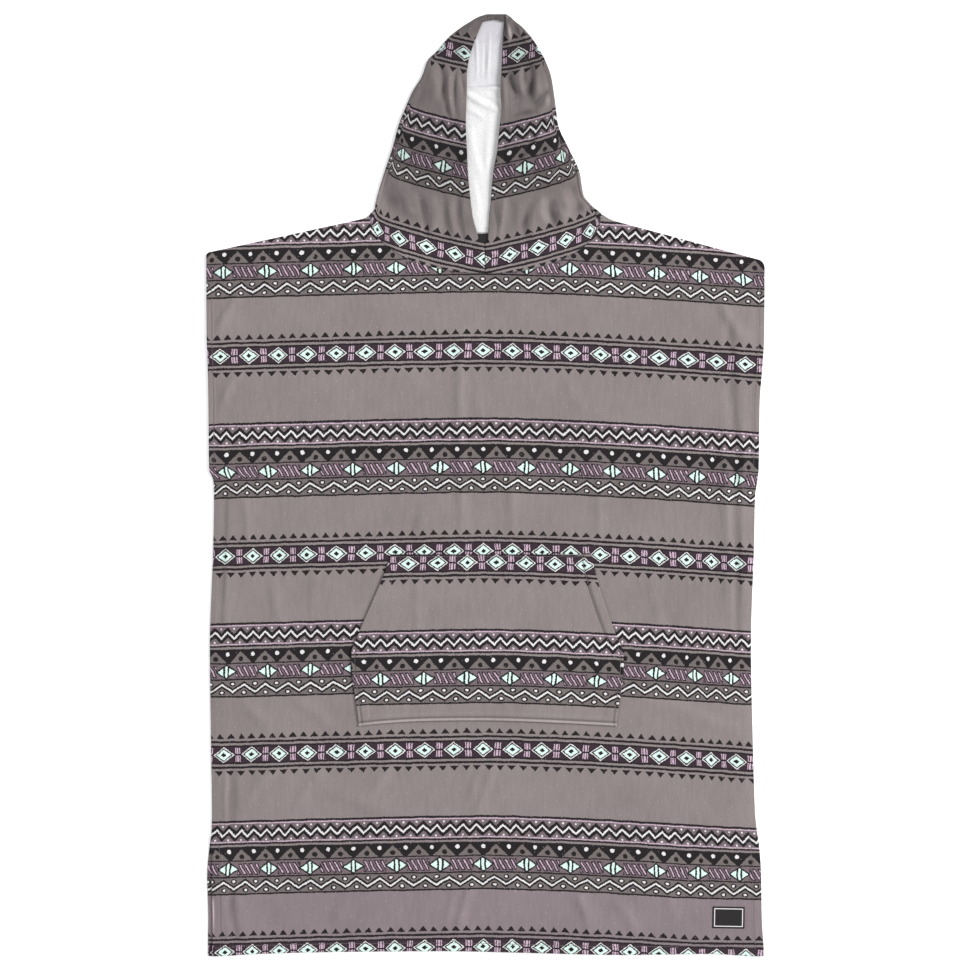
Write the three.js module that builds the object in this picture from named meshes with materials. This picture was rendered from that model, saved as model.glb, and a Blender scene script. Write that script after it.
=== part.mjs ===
// Hooded towelling poncho, laid flat on its back with the face opening of the hood upwards.
// Millimetres: X runs across the garment, Y from the hem to the hood, Z up from the surface it lies on.
// Every cut piece is a wall of cloth of its own, and neighbours stop a seam's gap short of each other.
import * as THREE from "three";

// Driving dimensions
const cloth = 1.8; // one layer of towelling
const seamGap = 0.3; // between two sewn pieces
const halfWidth = 400; // of the body, at the shoulders
const halfLength = 675; // of the whole garment, hem to crown
const neck = { halfWidth: 165, y: 384, frontDrop: 81, backDrop: 22 };
const shoulder = { leftTipY: 333, rightTipY: 321, cornerRadius: 9 };
const armholeEndY = 14; // the arm openings run from here up to the shoulder tips
const ventTopY = -495; // the side vents run from here down to the hem
const hem = { width: 13, ramp: 3, rise: 0.8 }; // turned-in hems: the doubled cloth stands proud
const seamRoll = { width: 8, drop: 1 }; // how a closed side seam rounds down
const lift = { height: 1.4, ramp: 24 }; // air under the front panel, away from its edges
const pocketWall = 1.6;
const pocketPuff = 1.1; // how far the pocket bellies between its seams
const hoodRoll = 5.5; // half width of the soft fold at the sides of the hood
const hoodCrown = 0.5; // how far the front of the hood bellies between rim and fold
const hoodPlainLoft = 2.3; // between the layers' middles where the hood is pinched flat
const hoodLoft = 5.2; // and where it stands highest
const crownSeamX = 13; // the hood leans: its seam ends here, at the top
const neckSeamX = -1; // and starts here, at the throat
const wovenLabel = { x: 348, y: -619, width: 46, height: 31, wall: 0.9, corner: 1.5, turn: -1 };
const sizeLabel = { x: -3, width: 40, height: 22, wall: 0.6, corner: 1 };

// Side edges of the body as it lies: hems of arm openings and vents stand out past the side seams.
const sideRows = [
  { y: -675, left: -398, right: 399 },
  { y: -620, left: -397.5, right: 396 },
  { y: -560, left: -399, right: 395 },
  { y: -520, left: -396, right: 392.5 },
  { y: -495, left: -392.5, right: 389 },
  { y: -470, left: -392, right: 386.5 },
  { y: -360, left: -393.5, right: 383 },
  { y: -230, left: -395, right: 380.5 },
  { y: -85, left: -390, right: 385 },
  { y: -15, left: -389, right: 386.5 },
  { y: 8, left: -390, right: 390 },
  { y: 22, left: -396, right: 391.5 },
  { y: 120, left: -397, right: 393 },
  { y: 170, left: -398, right: 397 },
  { y: 215, left: -399.5, right: 399.5 },
  { y: 300, left: -400, right: 400 },
  { y: 340, left: -400, right: 400 },
];

// The hem's edge, across the garment
const hemRows = [
  { x: -400, y: -675 },
  { x: -330, y: -671.5 },
  { x: -200, y: -668.5 },
  { x: -60, y: -667.5 },
  { x: 60, y: -670 },
  { x: 200, y: -673 },
  { x: 320, y: -671.5 },
  { x: 400, y: -675 },
];

// The hood as it lies: its outline, the rim of the face opening, and how far it stands up (0 to 1)
const hoodRows = [
  { y: 380, left: -165, leftRim: -18, rightRim: 5, right: 165, lofted: 0 },
  { y: 386, left: -165, leftRim: -18.5, rightRim: 5.3, right: 165, lofted: 0 },
  { y: 402, left: -159, leftRim: -20.5, rightRim: 7, right: 151, lofted: 0.2 },
  { y: 415, left: -155, leftRim: -22, rightRim: 8, right: 141, lofted: 0.4 },
  { y: 448, left: -145, leftRim: -25, rightRim: 11, right: 135, lofted: 0.75 },
  { y: 481, left: -134, leftRim: -26.5, rightRim: 17, right: 120, lofted: 0.9 },
  { y: 517, left: -124, leftRim: -28, rightRim: 20.5, right: 104, lofted: 1 },
  { y: 540, left: -115, leftRim: -27.5, rightRim: 23, right: 101, lofted: 1 },
  { y: 563, left: -105, leftRim: -26.5, rightRim: 21.5, right: 98, lofted: 1 },
  { y: 586, left: -91, leftRim: -26.5, rightRim: 22.3, right: 94, lofted: 0.95 },
  { y: 608, left: -83, leftRim: -24, rightRim: 23.4, right: 86, lofted: 0.85 },
  { y: 623, left: -68, leftRim: -20, rightRim: 24, right: 78, lofted: 0.72 },
  { y: 640, left: -54, leftRim: -14, rightRim: 24.5, right: 67, lofted: 0.5 },
  { y: 657, left: -33, leftRim: -7, rightRim: 26, right: 52, lofted: 0.28 },
  { y: 665, left: -20, leftRim: -4, rightRim: 27, right: 42, lofted: 0.14 },
  { y: 670, left: -12, leftRim: -4, rightRim: 27, right: 37, lofted: 0.06 },
  { y: 675, left: 0, leftRim: -4, rightRim: 27, right: 31, lofted: 0 },
];
const opening = { closedY: 345.5, openY: 349, bottomLeft: -10, bottomRight: 3.5, topY: 661.5, crownY: 664.5 };

// Outline of the kangaroo pocket: sewn along its top, lower sides and bottom, open along its slants
const pocketRows = [
  { y: -340, left: -182, right: 188 },
  { y: -300, left: -187, right: 193 },
  { y: -262, left: -192, right: 198 },
  { y: -240, left: -192, right: 197 },
  { y: -215, left: -183, right: 187 },
  { y: -118, left: -142, right: 156 },
  { y: -99, left: -136, right: 153 },
];
const pocketHem = { side: 15, bottom: 10, top: 7 };
const pocketSag = { middle: 1.3, left: 5.8, right: 3.7, reach: 185, endY: -262 }; // its bottom edge bows

// Largest soft ridges (+) and troughs (-) of the front panel: where each runs, its half width and height
const bodyFolds = [
  { x0: -34, y0: 190, x1: -33, y1: -80, width: 11, height: 1.7 },
  { x0: 37, y0: 10, x1: 38, y1: -84, width: 10, height: 1.3 },
  { x0: 156, y0: 10, x1: 160, y1: -90, width: 11, height: 1.4 },
  { x0: 356, y0: 190, x1: 362, y1: -215, width: 13, height: -1.2 },
  { x0: 343, y0: 150, x1: 347, y1: -190, width: 12, height: 1.5 },
  { x0: -365, y0: 20, x1: -355, y1: -130, width: 12, height: -1.1 },
  { x0: -344, y0: 0, x1: -332, y1: -120, width: 13, height: 1.4 },
  { x0: -352, y0: 285, x1: -386, y1: 190, width: 13, height: 1.8 },
  { x0: -350, y0: 175, x1: -382, y1: 85, width: 12, height: 1.6 },
  { x0: 325, y0: 270, x1: 360, y1: 190, width: 13, height: 1.7 },
  { x0: -312, y0: -118, x1: -292, y1: -205, width: 12, height: 1.3 },
  { x0: -232, y0: -60, x1: -248, y1: -190, width: 12, height: 1.2 },
  { x0: 226, y0: -120, x1: 240, y1: -235, width: 12, height: 1.5 },
  { x0: -345, y0: -300, x1: -318, y1: -385, width: 13, height: 1.5 },
  { x0: -361, y0: -392, x1: -366, y1: -490, width: 12, height: -1.2 },
  { x0: -296, y0: -395, x1: -348, y1: -470, width: 13, height: 1.6 },
  { x0: -234, y0: -405, x1: -272, y1: -470, width: 12, height: 1.4 },
  { x0: -130, y0: -385, x1: -176, y1: -462, width: 13, height: 1.5 },
  { x0: 8, y0: -395, x1: -12, y1: -480, width: 10, height: 1.5 },
  { x0: 318, y0: -322, x1: 372, y1: -340, width: 12, height: 1.2 },
  { x0: -352, y0: -575, x1: -342, y1: -655, width: 12, height: 1.7 },
  { x0: -20, y0: -560, x1: -46, y1: -645, width: 11, height: 1.6 },
  { x0: 112, y0: -565, x1: 128, y1: -640, width: 12, height: 1.7 },
  { x0: 186, y0: -590, x1: 222, y1: -650, width: 12, height: 1.4 },
];

// The same for the front of the hood
const hoodFolds = [
  { x0: -52, y0: 606, x1: -52, y1: 515, width: 7, height: 1.9 },
  { x0: -76, y0: 590, x1: -78, y1: 520, width: 9, height: 1.6 },
  { x0: -72, y0: 450, x1: -70, y1: 372, width: 11, height: 1.7 },
  { x0: -46, y0: 430, x1: -42, y1: 365, width: 8, height: 1.4 },
  { x0: 55, y0: 600, x1: 57, y1: 540, width: 8, height: 1.7 },
  { x0: 42, y0: 516, x1: 92, y1: 548, width: 9, height: 2 },
  { x0: 84, y0: 590, x1: 82, y1: 560, width: 8, height: -1.2 },
  { x0: 30, y0: 425, x1: 27, y1: 365, width: 8, height: 1.5 },
  { x0: 62, y0: 440, x1: 58, y1: 372, width: 10, height: 1.4 },
];

const lerp = THREE.MathUtils.lerp;
const smoothstep = THREE.MathUtils.smoothstep;

// A smooth curve through one column of a table, which never swings past its rows
function follow(rows, column, value, along = "y") {
  const last = rows.length - 1;
  const slope = (k) => (rows[k + 1][column] - rows[k][column]) / (rows[k + 1][along] - rows[k][along]);
  const tangent = (k) => {
    if (k === 0 || k === last) return 0;
    const before = slope(k - 1);
    const after = slope(k);
    return before * after > 0 ? (2 * before * after) / (before + after) : 0;
  };
  if (value <= rows[0][along]) return rows[0][column];
  if (value >= rows[last][along]) return rows[last][column];
  const k = rows.findIndex((row) => row[along] > value) - 1;
  const span = rows[k + 1][along] - rows[k][along];
  const t = (value - rows[k][along]) / span;
  return (
    rows[k][column] * (1 - t) ** 2 * (1 + 2 * t) +
    rows[k + 1][column] * t ** 2 * (3 - 2 * t) +
    span * (tangent(k) * t * (1 - t) ** 2 - tangent(k + 1) * t ** 2 * (1 - t))
  );
}

// Height of all the folds of a table at a point: round across, and dying away at both ends
function foldHeight(folds, x, y) {
  let height = 0;
  for (const fold of folds) {
    const run = Math.hypot(fold.x1 - fold.x0, fold.y1 - fold.y0);
    const ux = (fold.x1 - fold.x0) / run;
    const uy = (fold.y1 - fold.y0) / run;
    const along = ((x - fold.x0) * ux + (y - fold.y0) * uy) / run;
    const across = (x - fold.x0) * uy - (y - fold.y0) * ux;
    if (along <= 0 || along >= 1) continue;
    height += fold.height * Math.sin(Math.PI * along) ** 0.8 * Math.exp(-((across / fold.width) ** 2));
  }
  return height;
}

// Half an ellipse hanging from the two neck points, let in by half the seam's gap
function neckline(x, drop, gap) {
  const across = Math.min(1, Math.abs(x) / (neck.halfWidth + gap));
  return neck.y - (drop + gap) * Math.sqrt(1 - across ** 2);
}

function shoulderSeam(x) {
  const tipY = x < 0 ? shoulder.leftTipY : shoulder.rightTipY;
  const out = (Math.abs(x) - neck.halfWidth) / (halfWidth - neck.halfWidth);
  const intoCorner = Math.max(0, Math.abs(x) - (halfWidth - shoulder.cornerRadius));
  const corner = shoulder.cornerRadius - Math.sqrt(shoulder.cornerRadius ** 2 - intoCorner ** 2);
  return lerp(neck.y, tipY, Math.max(0, out)) - corner;
}

const bodyTop = (x, drop) =>
  Math.abs(x) < neck.halfWidth ? neckline(x, drop, seamGap / 2) : shoulderSeam(x);
const hemEdge = (x) => follow(hemRows, "y", x, "x");
const sideEdge = (y, side) => follow(sideRows, side < 0 ? "left" : "right", y);

// Moves a point of the plain rectangle sideways so that the outer columns follow the side edges
function alongSides(x, y) {
  const side = Math.sign(x);
  const pull = smoothstep(Math.abs(x), halfWidth - 150, halfWidth);
  return x + (sideEdge(y, side) - side * halfWidth) * pull;
}

const fromSide = (x, y) => Math.abs(sideEdge(y, Math.sign(x) || 1) - x);

// 1 inside the footprints of the pocket and the label, where the panel lies smooth under them
function underPatch(x, y) {
  const margin = 14;
  const outside = (left, right, bottom, top) => Math.max(left - x, x - right, bottom - y, y - top, 0);
  const pocketGap = outside(
    follow(pocketRows, "left", y),
    follow(pocketRows, "right", y),
    pocketRows[0].y,
    pocketRows[pocketRows.length - 1].y,
  );
  const labelGap = outside(
    wovenLabel.x - wovenLabel.width / 2,
    wovenLabel.x + wovenLabel.width / 2,
    wovenLabel.y - wovenLabel.height / 2,
    wovenLabel.y + wovenLabel.height / 2,
  );
  return 1 - smoothstep(Math.min(pocketGap, labelGap), margin, 3 * margin);
}

// Underside of the front panel: on the back panel at every edge but the neck, lifted between them
function frontUnderside(x, y) {
  const edge = Math.min(fromSide(x, y), y - hemEdge(x), shoulderSeam(x) - y);
  const share = smoothstep(edge, 0, lift.ramp);
  const folds = foldHeight(bodyFolds, x, y) * (1 - underPatch(x, y));
  return cloth + seamGap + share * (lift.height + folds);
}

// What a hem adds to the cloth at a distance from its edge
const hemRise = (distance, width) => hem.rise * (1 - smoothstep(distance, width, width + hem.ramp));

// Wall of the front panel: doubled at the arm openings, vents and hem, rounded down at the side seams
function frontWall(x, y) {
  const side = fromSide(x, y);
  const openSide =
    smoothstep(y, armholeEndY - 6, armholeEndY + 10) + 1 - smoothstep(y, ventTopY - 12, ventTopY + 4);
  const hemmed = Math.max(hemRise(side, hem.width) * openSide, hemRise(y - hemEdge(x), hem.width));
  const rounded = seamRoll.drop * (1 - smoothstep(side, 0, seamRoll.width)) * (1 - openSide);
  return cloth + hemmed - rounded;
}

const frontTopSurface = (x, y) => frontUnderside(x, y) + frontWall(x, y);

// Closed geometry from two grids of points: outer and inner face of a wall, with strips round the rim
function closeWall(outer, inner) {
  const rows = outer.length;
  const columns = outer[0].length;
  const points = [...outer.flat(), ...inner.flat()];
  const at = (row, column, face) => face * rows * columns + row * columns + column;
  const index = [];
  const quad = (a, b, c, d) => index.push(a, b, c, a, c, d);
  for (let r = 0; r < rows - 1; r++) {
    for (let c = 0; c < columns - 1; c++) {
      quad(at(r, c, 0), at(r, c + 1, 0), at(r + 1, c + 1, 0), at(r + 1, c, 0));
      quad(at(r, c, 1), at(r + 1, c, 1), at(r + 1, c + 1, 1), at(r, c + 1, 1));
    }
    quad(at(r, 0, 0), at(r + 1, 0, 0), at(r + 1, 0, 1), at(r, 0, 1));
    quad(at(r, columns - 1, 0), at(r, columns - 1, 1), at(r + 1, columns - 1, 1), at(r + 1, columns - 1, 0));
  }
  for (let c = 0; c < columns - 1; c++) {
    quad(at(0, c, 0), at(0, c, 1), at(0, c + 1, 1), at(0, c + 1, 0));
    quad(at(rows - 1, c, 0), at(rows - 1, c + 1, 0), at(rows - 1, c + 1, 1), at(rows - 1, c, 1));
  }
  const geometry = new THREE.BufferGeometry().setFromPoints(points);
  geometry.setIndex(index);
  geometry.computeVertexNormals();
  return geometry;
}

// Evenly spaced numbers from one value to another, both included
const steps = (from, to, count) => Array.from({ length: count + 1 }, (_, k) => lerp(from, to, k / count));

const mirrored = (half) => [...half.toReversed().map((x) => -x), ...half.slice(half[0] === 0 ? 1 : 0)];

function frontPanel() {
  const atNeck = [0, 24, 48, 72, 94, 114, 132, 147, 157, 163, neck.halfWidth];
  const overShoulder = steps(neck.halfWidth, halfWidth - 39, 9).slice(1);
  const atSide = [26, 16, 12.5, 3, 0].map((inset) => halfWidth - inset);
  const columns = mirrored([...atNeck, ...overShoulder, ...atSide]);
  const side = { bottom: hemEdge(halfWidth), top: shoulder.rightTipY - shoulder.cornerRadius };
  const levels = [
    ...[0, 3, 12.5, 16, 40, 75].map((up) => side.bottom + up),
    ...steps(-560, ventTopY - 14, 1),
    ventTopY + 4,
    ...steps(-455, -35, 9),
    ...[armholeEndY - 20, armholeEndY - 6, armholeEndY + 8, armholeEndY + 30],
    ...steps(90, 280, 4),
    side.top,
  ];
  const shares = levels.map((y) => (y - side.bottom) / (side.top - side.bottom));
  const grid = (height) =>
    shares.map((share) =>
      columns.map((column) => {
        const y = lerp(hemEdge(column), bodyTop(column, neck.frontDrop), share);
        const x = alongSides(column, y);
        return new THREE.Vector3(x, y, height(x, y));
      }),
    );
  return closeWall(grid(frontTopSurface), grid(frontUnderside));
}

function backPanel() {
  const atSides = steps(-halfLength, shoulder.rightTipY - shoulder.cornerRadius, 34);
  const shoulderXs = [1, 3, 7, 15, 80, 160].map((inset) => halfWidth - inset);
  const neckXs = [1, 0.97, 0.9, 0.78, 0.6, 0.4, 0.2, 0].map((share) => share * neck.halfWidth);
  const rightTop = [...shoulderXs, ...neckXs];
  const edge = (x) => [x, bodyTop(x, neck.backDrop)];
  const hemXs = steps(halfWidth, -halfWidth, 20).slice(1, -1);
  const corner = (side) => [sideEdge(hemEdge(side * halfWidth), side), hemEdge(side * halfWidth)];
  const outline = [
    corner(1),
    ...atSides.slice(1).map((y) => [sideEdge(y, 1), y]),
    ...rightTop.map(edge),
    ...rightTop.toReversed().slice(1).map((x) => edge(-x)),
    ...atSides.slice(1).toReversed().map((y) => [sideEdge(y, -1), y]),
    corner(-1),
    ...hemXs.toReversed().map((x) => [x, hemEdge(x)]),
  ];
  const shape = new THREE.Shape(outline.map(([x, y]) => new THREE.Vector2(x, y)));
  return new THREE.ExtrudeGeometry(shape, { depth: cloth, bevelEnabled: false });
}

// Where the rim of the face opening lies: sewn shut at the throat, and again over the crown
function rimX(y, side) {
  const seamX = follow([{ y: neck.y, x: neckSeamX }, { y: halfLength, x: crownSeamX }], "x", y);
  const sewn = seamX + (side * seamGap) / 2;
  const bottom = side < 0 ? opening.bottomLeft : opening.bottomRight;
  if (y <= opening.closedY) return sewn;
  if (y >= opening.crownY) return sewn;
  if (y < opening.openY) return lerp(sewn, bottom, (y - opening.closedY) / (opening.openY - opening.closedY));
  const rim = follow(hoodRows, side < 0 ? "leftRim" : "rightRim", y);
  if (y > opening.topY) return lerp(rim, sewn, (y - opening.topY) / (opening.crownY - opening.topY));
  return lerp(bottom, rim, smoothstep(y, opening.openY, neck.y + 4));
}

// One half of the hood: a single cut piece that runs from the rim over the side fold to the back seam
function hoodHalf(side) {
  const frontShares = [0, 0.03, 0.12, 0.15, 0.25, 0.36, 0.47, 0.58, 0.69, 0.8, 0.91, 1];
  const rollTurns = steps(90, -90, 6).slice(1, -1);
  const backShares = [0, 0.14, 0.36, 0.6, 0.8, 1];
  const rimLevels = [
    ...[neck.y - neck.frontDrop, 320, opening.closedY, opening.openY, 364, 388, 415, 446],
    ...steps(476, 602, 4),
    ...[622, 639, 651, opening.topY, opening.crownY, 668.5, 672, halfLength],
  ];
  const rise = rimLevels.map((y) => (y - rimLevels[0]) / (halfLength - rimLevels[0]));
  const seamHalf = -seamGap / 2;
  const column = side < 0 ? "left" : "right";
  const startX = neckSeamX + (side * seamGap) / 2;
  const neckPointX = side * (neck.halfWidth + seamHalf);
  const crownY = halfLength;

  const frameAt = (y) => {
    const fold = follow(hoodRows, column, y) - (side * cloth) / 2;
    const loft = lerp(hoodPlainLoft, hoodLoft, follow(hoodRows, "lofted", y));
    const rim = rimX(y, side);
    const backSeam = follow([{ y: neck.y, x: neckSeamX }, { y: halfLength, x: crownSeamX }], "x", y);
    const roll = Math.min(hoodRoll, loft * 0.8, Math.abs(fold - backSeam) * 0.3);
    return { fold, loft, rim, roll, seam: backSeam + (side * seamGap) / 2 };
  };
  const heightFrom = (bottomY, share) => lerp(bottomY, crownY, share);

  // The bottom edge flares to meet the neckline all the way round
  const flaredAt = (y, up) => {
    const f = frameAt(y);
    const settled = smoothstep(up, 0, 0.04);
    const flaredFold = neckPointX + side * (f.roll - seamGap);
    return { ...f, fold: lerp(flaredFold, f.fold, settled), rim: lerp(startX, f.rim, settled) };
  };

  const frontPoint = (share, up) => {
    const y = heightFrom(neckline(lerp(startX, neckPointX, share), neck.frontDrop, seamHalf), up);
    const f = flaredAt(y, up);
    const x = lerp(f.rim, f.fold - side * f.roll, share);
    const bulge = (hoodCrown * (f.loft - hoodPlainLoft)) / (hoodLoft - hoodPlainLoft);
    const hoodHeight = f.loft + bulge * Math.sin(Math.PI * share) ** 0.7;
    const open = smoothstep(up, 0.17, 0.3);
    const panelHeight = frontUnderside(x, Math.min(y, shoulderSeam(neck.halfWidth)));
    const folds = foldHeight(hoodFolds, x, y) * Math.sin(Math.PI * Math.min(1, share + 0.25)) ** 0.5;
    const z = lerp(panelHeight, hoodHeight, open) + cloth / 2 + folds * smoothstep(up, 0, 0.05);
    return new THREE.Vector3(x, y, z);
  };
  const rollPoint = (turn, up) => {
    const y = heightFrom(neck.y - seamHalf, up);
    const f = flaredAt(y, up);
    const angle = THREE.MathUtils.degToRad(turn);
    const x = f.fold - side * f.roll * (1 - Math.cos(angle));
    return new THREE.Vector3(x, y, cloth / 2 + (f.loft / 2) * (1 + Math.sin(angle)));
  };
  const backPoint = (share, up) => {
    const y = heightFrom(neckline(lerp(neckPointX, startX, share), neck.backDrop, seamHalf), up);
    const f = flaredAt(y, up);
    return new THREE.Vector3(lerp(f.fold - side * f.roll, f.seam, share), y, cloth / 2);
  };

  const middle = rise.map((up) => [
    ...frontShares.map((share) => frontPoint(share, up)),
    ...rollTurns.map((turn) => rollPoint(turn, up)),
    ...backShares.map((share) => backPoint(share, up)),
  ]);
  const outer = [];
  const inner = [];
  const lastRow = middle.length - 1;
  const lastColumn = middle[0].length - 1;
  for (let r = 0; r <= lastRow; r++) {
    outer.push([]);
    inner.push([]);
    for (let c = 0; c <= lastColumn; c++) {
      const across = middle[r][Math.min(c + 1, lastColumn)].clone().sub(middle[r][Math.max(c - 1, 0)]);
      const upwards = middle[Math.min(r + 1, lastRow)][c].clone().sub(middle[Math.max(r - 1, 0)][c]);
      const normal = across.cross(upwards).multiplyScalar(side);
      if (r === 0 || r === lastRow) normal.y = 0;
      if (c === 0 || c === lastColumn) normal.set(0, 0, normal.z);
      normal.normalize().multiplyScalar(cloth / 2);
      const rim = c < frontShares.length ? Math.abs(middle[r][c].x - middle[r][0].x) : Infinity;
      const raised = normal.clone().multiplyScalar(1 + (2 * hemRise(rim, hem.width)) / cloth);
      outer[r].push(middle[r][c].clone().add(raised));
      inner[r].push(middle[r][c].clone().sub(normal));
    }
  }
  for (const point of outer.flat()) point.z = Math.max(0, point.z);
  return side > 0 ? closeWall(outer, inner) : closeWall(inner, outer);
}

function pocket() {
  const bottomY = pocketRows[0].y;
  const topY = pocketRows[pocketRows.length - 1].y;
  const levels = [
    ...[0, 2.5, pocketHem.bottom, pocketHem.bottom + hem.ramp, 30].map((up) => bottomY + up),
    ...steps(-288, -125, 7),
    ...[pocketHem.top + hem.ramp, pocketHem.top, 0].map((down) => topY - down),
  ];
  const insets = [0, 2.5, pocketHem.side, pocketHem.side + hem.ramp];
  const middle = steps(0.12, 0.88, 9);
  const base = cloth + seamGap + lift.height + cloth + seamGap;
  const place = (y) => {
    const left = follow(pocketRows, "left", y);
    const right = follow(pocketRows, "right", y);
    return [
      ...insets.map((inset) => left + inset),
      ...middle.map((share) => lerp(left, right, share)),
      ...insets.toReversed().map((inset) => right - inset),
    ].map((x) => ({ x, side: Math.min(x - left, right - x) }));
  };
  const belly = (side, y) => {
    const slanted = smoothstep(y, -262, -225) * (1 - smoothstep(y, -130, -105));
    const fromSeams = Math.min(y - bottomY, topY - y);
    const sideShare = Math.max(smoothstep(side, 0, 40), slanted * 0.8);
    return pocketPuff * sideShare * smoothstep(fromSeams, 0, 40);
  };
  const hemmed = (side, y) =>
    Math.max(
      hemRise(side, pocketHem.side),
      hemRise(y - bottomY, pocketHem.bottom),
      hemRise(topY - y, pocketHem.top),
    );
  const sag = (x, y) => {
    const deep = (x < 0 ? pocketSag.left : pocketSag.right) * (x / pocketSag.reach) ** 2;
    return (pocketSag.middle - deep) * (1 - smoothstep(y, bottomY, pocketSag.endY));
  };
  const grid = (height) =>
    levels.map((y) =>
      place(y).map(({ x, side }) => new THREE.Vector3(x, y + sag(x, y), base + height(side, y))),
    );
  return closeWall(
    grid((side, y) => belly(side, y) + pocketWall + hemmed(side, y)),
    grid(belly),
  );
}

// A thin label with rounded corners, standing on its own middle
function label({ width, height, wall, corner }) {
  const shape = new THREE.Shape();
  const x = width / 2 - corner;
  const y = height / 2 - corner;
  shape.absarc(x, y, corner, 0, Math.PI / 2);
  shape.absarc(-x, y, corner, Math.PI / 2, Math.PI);
  shape.absarc(-x, -y, corner, Math.PI, 1.5 * Math.PI);
  shape.absarc(x, -y, corner, 1.5 * Math.PI, 2 * Math.PI);
  return new THREE.ExtrudeGeometry(shape, { depth: wall, bevelEnabled: false, curveSegments: 3 });
}

function piece(name, geometry, color, roughness) {
  const material = new THREE.MeshStandardMaterial({ color, roughness, metalness: 0 });
  const mesh = new THREE.Mesh(geometry, material);
  mesh.name = name;
  return mesh;
}

const print = "#938889";
const black = "#262223";
const poncho = new THREE.Group();
poncho.add(
  piece("back_panel", backPanel(), print, 0.95),
  piece("front_panel", frontPanel(), print, 0.95),
  piece("hood_left", hoodHalf(-1), print, 0.95),
  piece("hood_right", hoodHalf(1), print, 0.95),
  piece("pocket", pocket(), print, 0.95),
);

const onFront = piece("woven_label", label(wovenLabel), black, 0.6);
onFront.position.set(wovenLabel.x, wovenLabel.y, 2 * (cloth + seamGap) + lift.height);
onFront.rotation.z = THREE.MathUtils.degToRad(wovenLabel.turn);
poncho.add(onFront);

const atNape = piece("size_label", label(sizeLabel), black, 0.6);
const napeSeamY = neck.y - neck.backDrop - 1;
atNape.position.set(sizeLabel.x, napeSeamY - sizeLabel.height / 2, cloth + seamGap);
poncho.add(atNape);

export default poncho;
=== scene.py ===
import functools
import math

import bpy
import numpy as np
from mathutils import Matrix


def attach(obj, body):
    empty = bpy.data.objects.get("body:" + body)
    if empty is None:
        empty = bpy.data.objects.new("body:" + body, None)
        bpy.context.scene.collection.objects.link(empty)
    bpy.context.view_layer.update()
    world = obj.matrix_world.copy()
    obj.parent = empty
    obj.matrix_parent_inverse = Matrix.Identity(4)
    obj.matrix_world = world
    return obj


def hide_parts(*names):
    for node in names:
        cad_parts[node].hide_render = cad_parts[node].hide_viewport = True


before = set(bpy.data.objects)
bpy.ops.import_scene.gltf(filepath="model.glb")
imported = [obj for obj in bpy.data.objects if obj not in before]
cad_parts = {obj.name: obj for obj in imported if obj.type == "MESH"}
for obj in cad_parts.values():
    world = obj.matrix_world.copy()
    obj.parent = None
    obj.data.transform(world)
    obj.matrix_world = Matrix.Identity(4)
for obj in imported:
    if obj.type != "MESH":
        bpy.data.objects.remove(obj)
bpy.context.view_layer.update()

# A hooded poncho of printed towelling, laid flat. Tables are in millimetres, as a cutter would
# note them: x across, y from the hem up to the hood, z up from the surface it lies on.
mm = 0.001

cloth = {
    "wall": 1.8,  # one layer of towelling
    "seamGap": 0.3,
    "edgeRound": 1.4,  # how far in a folded edge is rounded over
    "edgeThin": 0.25,  # what is left of its thickness at the very edge
    "hemRise": 0.8,  # the turned-in layer under a hem
    "hemRamp": 3,
}


def table(columns, rows):
    return [dict(zip(columns, row)) for row in rows]


# Nodes and colours

flatNoise = {"noise_dimensions": "2D"}
colourMix = {"data_type": "RGBA"}


def linear(hexColour):
    channels = [int(hexColour[i:i + 2], 16) / 255 for i in (1, 3, 5)]
    return [c / 12.92 if c <= 0.04045 else ((c + 0.055) / 1.055) ** 2.4 for c in channels] + [1]


def addNode(tree, kind, settings, *inputs):
    # settings are the node's own, or just its operation; inputs come in the order of the sockets,
    # or as one dictionary by their names or places
    node = tree.nodes.new("ShaderNode" + kind)
    if isinstance(settings, str):
        settings = {"operation": settings}
    for name, value in settings.items():
        setattr(node, name, value)
    named = inputs[0] if inputs and isinstance(inputs[0], dict) else dict(enumerate(inputs))
    for name, value in named.items():
        if isinstance(value, bpy.types.NodeSocket):
            tree.links.new(value, node.inputs[name])
        else:
            node.inputs[name].default_value = value
    return node.outputs


def newMaterial(name):
    # the material, and addNode with its tree filled in
    material = bpy.data.materials.new(name)
    material.use_nodes = True
    material.node_tree.nodes.clear()
    return material, functools.partial(addNode, material.node_tree)


def newCloth(name):
    # the pattern of a cloth or thread is drawn on its flat cut, in millimetres
    material, add = newMaterial(name)
    return material, add, add("UVMap", {"uv_map": "cut"})[0]


def coverCloth(add, colour, height, relief, rough, settings):
    # relief: the bump's strength and its depth in metres; rough: what the roughness follows and how far
    bump = add("Bump", {}, {"Strength": relief[0], "Distance": relief[1], "Height": height})[0]
    roughness = add("MapRange", {}, *rough)[0]
    shader = add("BsdfPrincipled", {}, {
        "Base Color": colour, "Roughness": roughness, "Normal": bump, **settings})[0]
    add("OutputMaterial", {}, {"Surface": shader})


# Camera, floor and light

stage = {
    "lens": 100,
    "pixelsTall": 971,
    "mmPerPixel": 1.434,
    "over": (-0.7, -0.4),
    "floorSize": 14,  # from here on in metres and watts
    "floorBelow": 0.0006,
    "floorColour": "#fafafa",
    "skyColour": "#f6f7fa",
    "skyStrength": 0.85,
    "keyPower": 1950,
    "keySize": 4.6,
    "keyFrom": (8.4, 3.5, 6.4),  # low from the right, so that the folds show
    "fillPower": 213,
    "fillSize": 5,
    "fillFrom": (-4.8, -2.4, 5.6),
}


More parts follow.
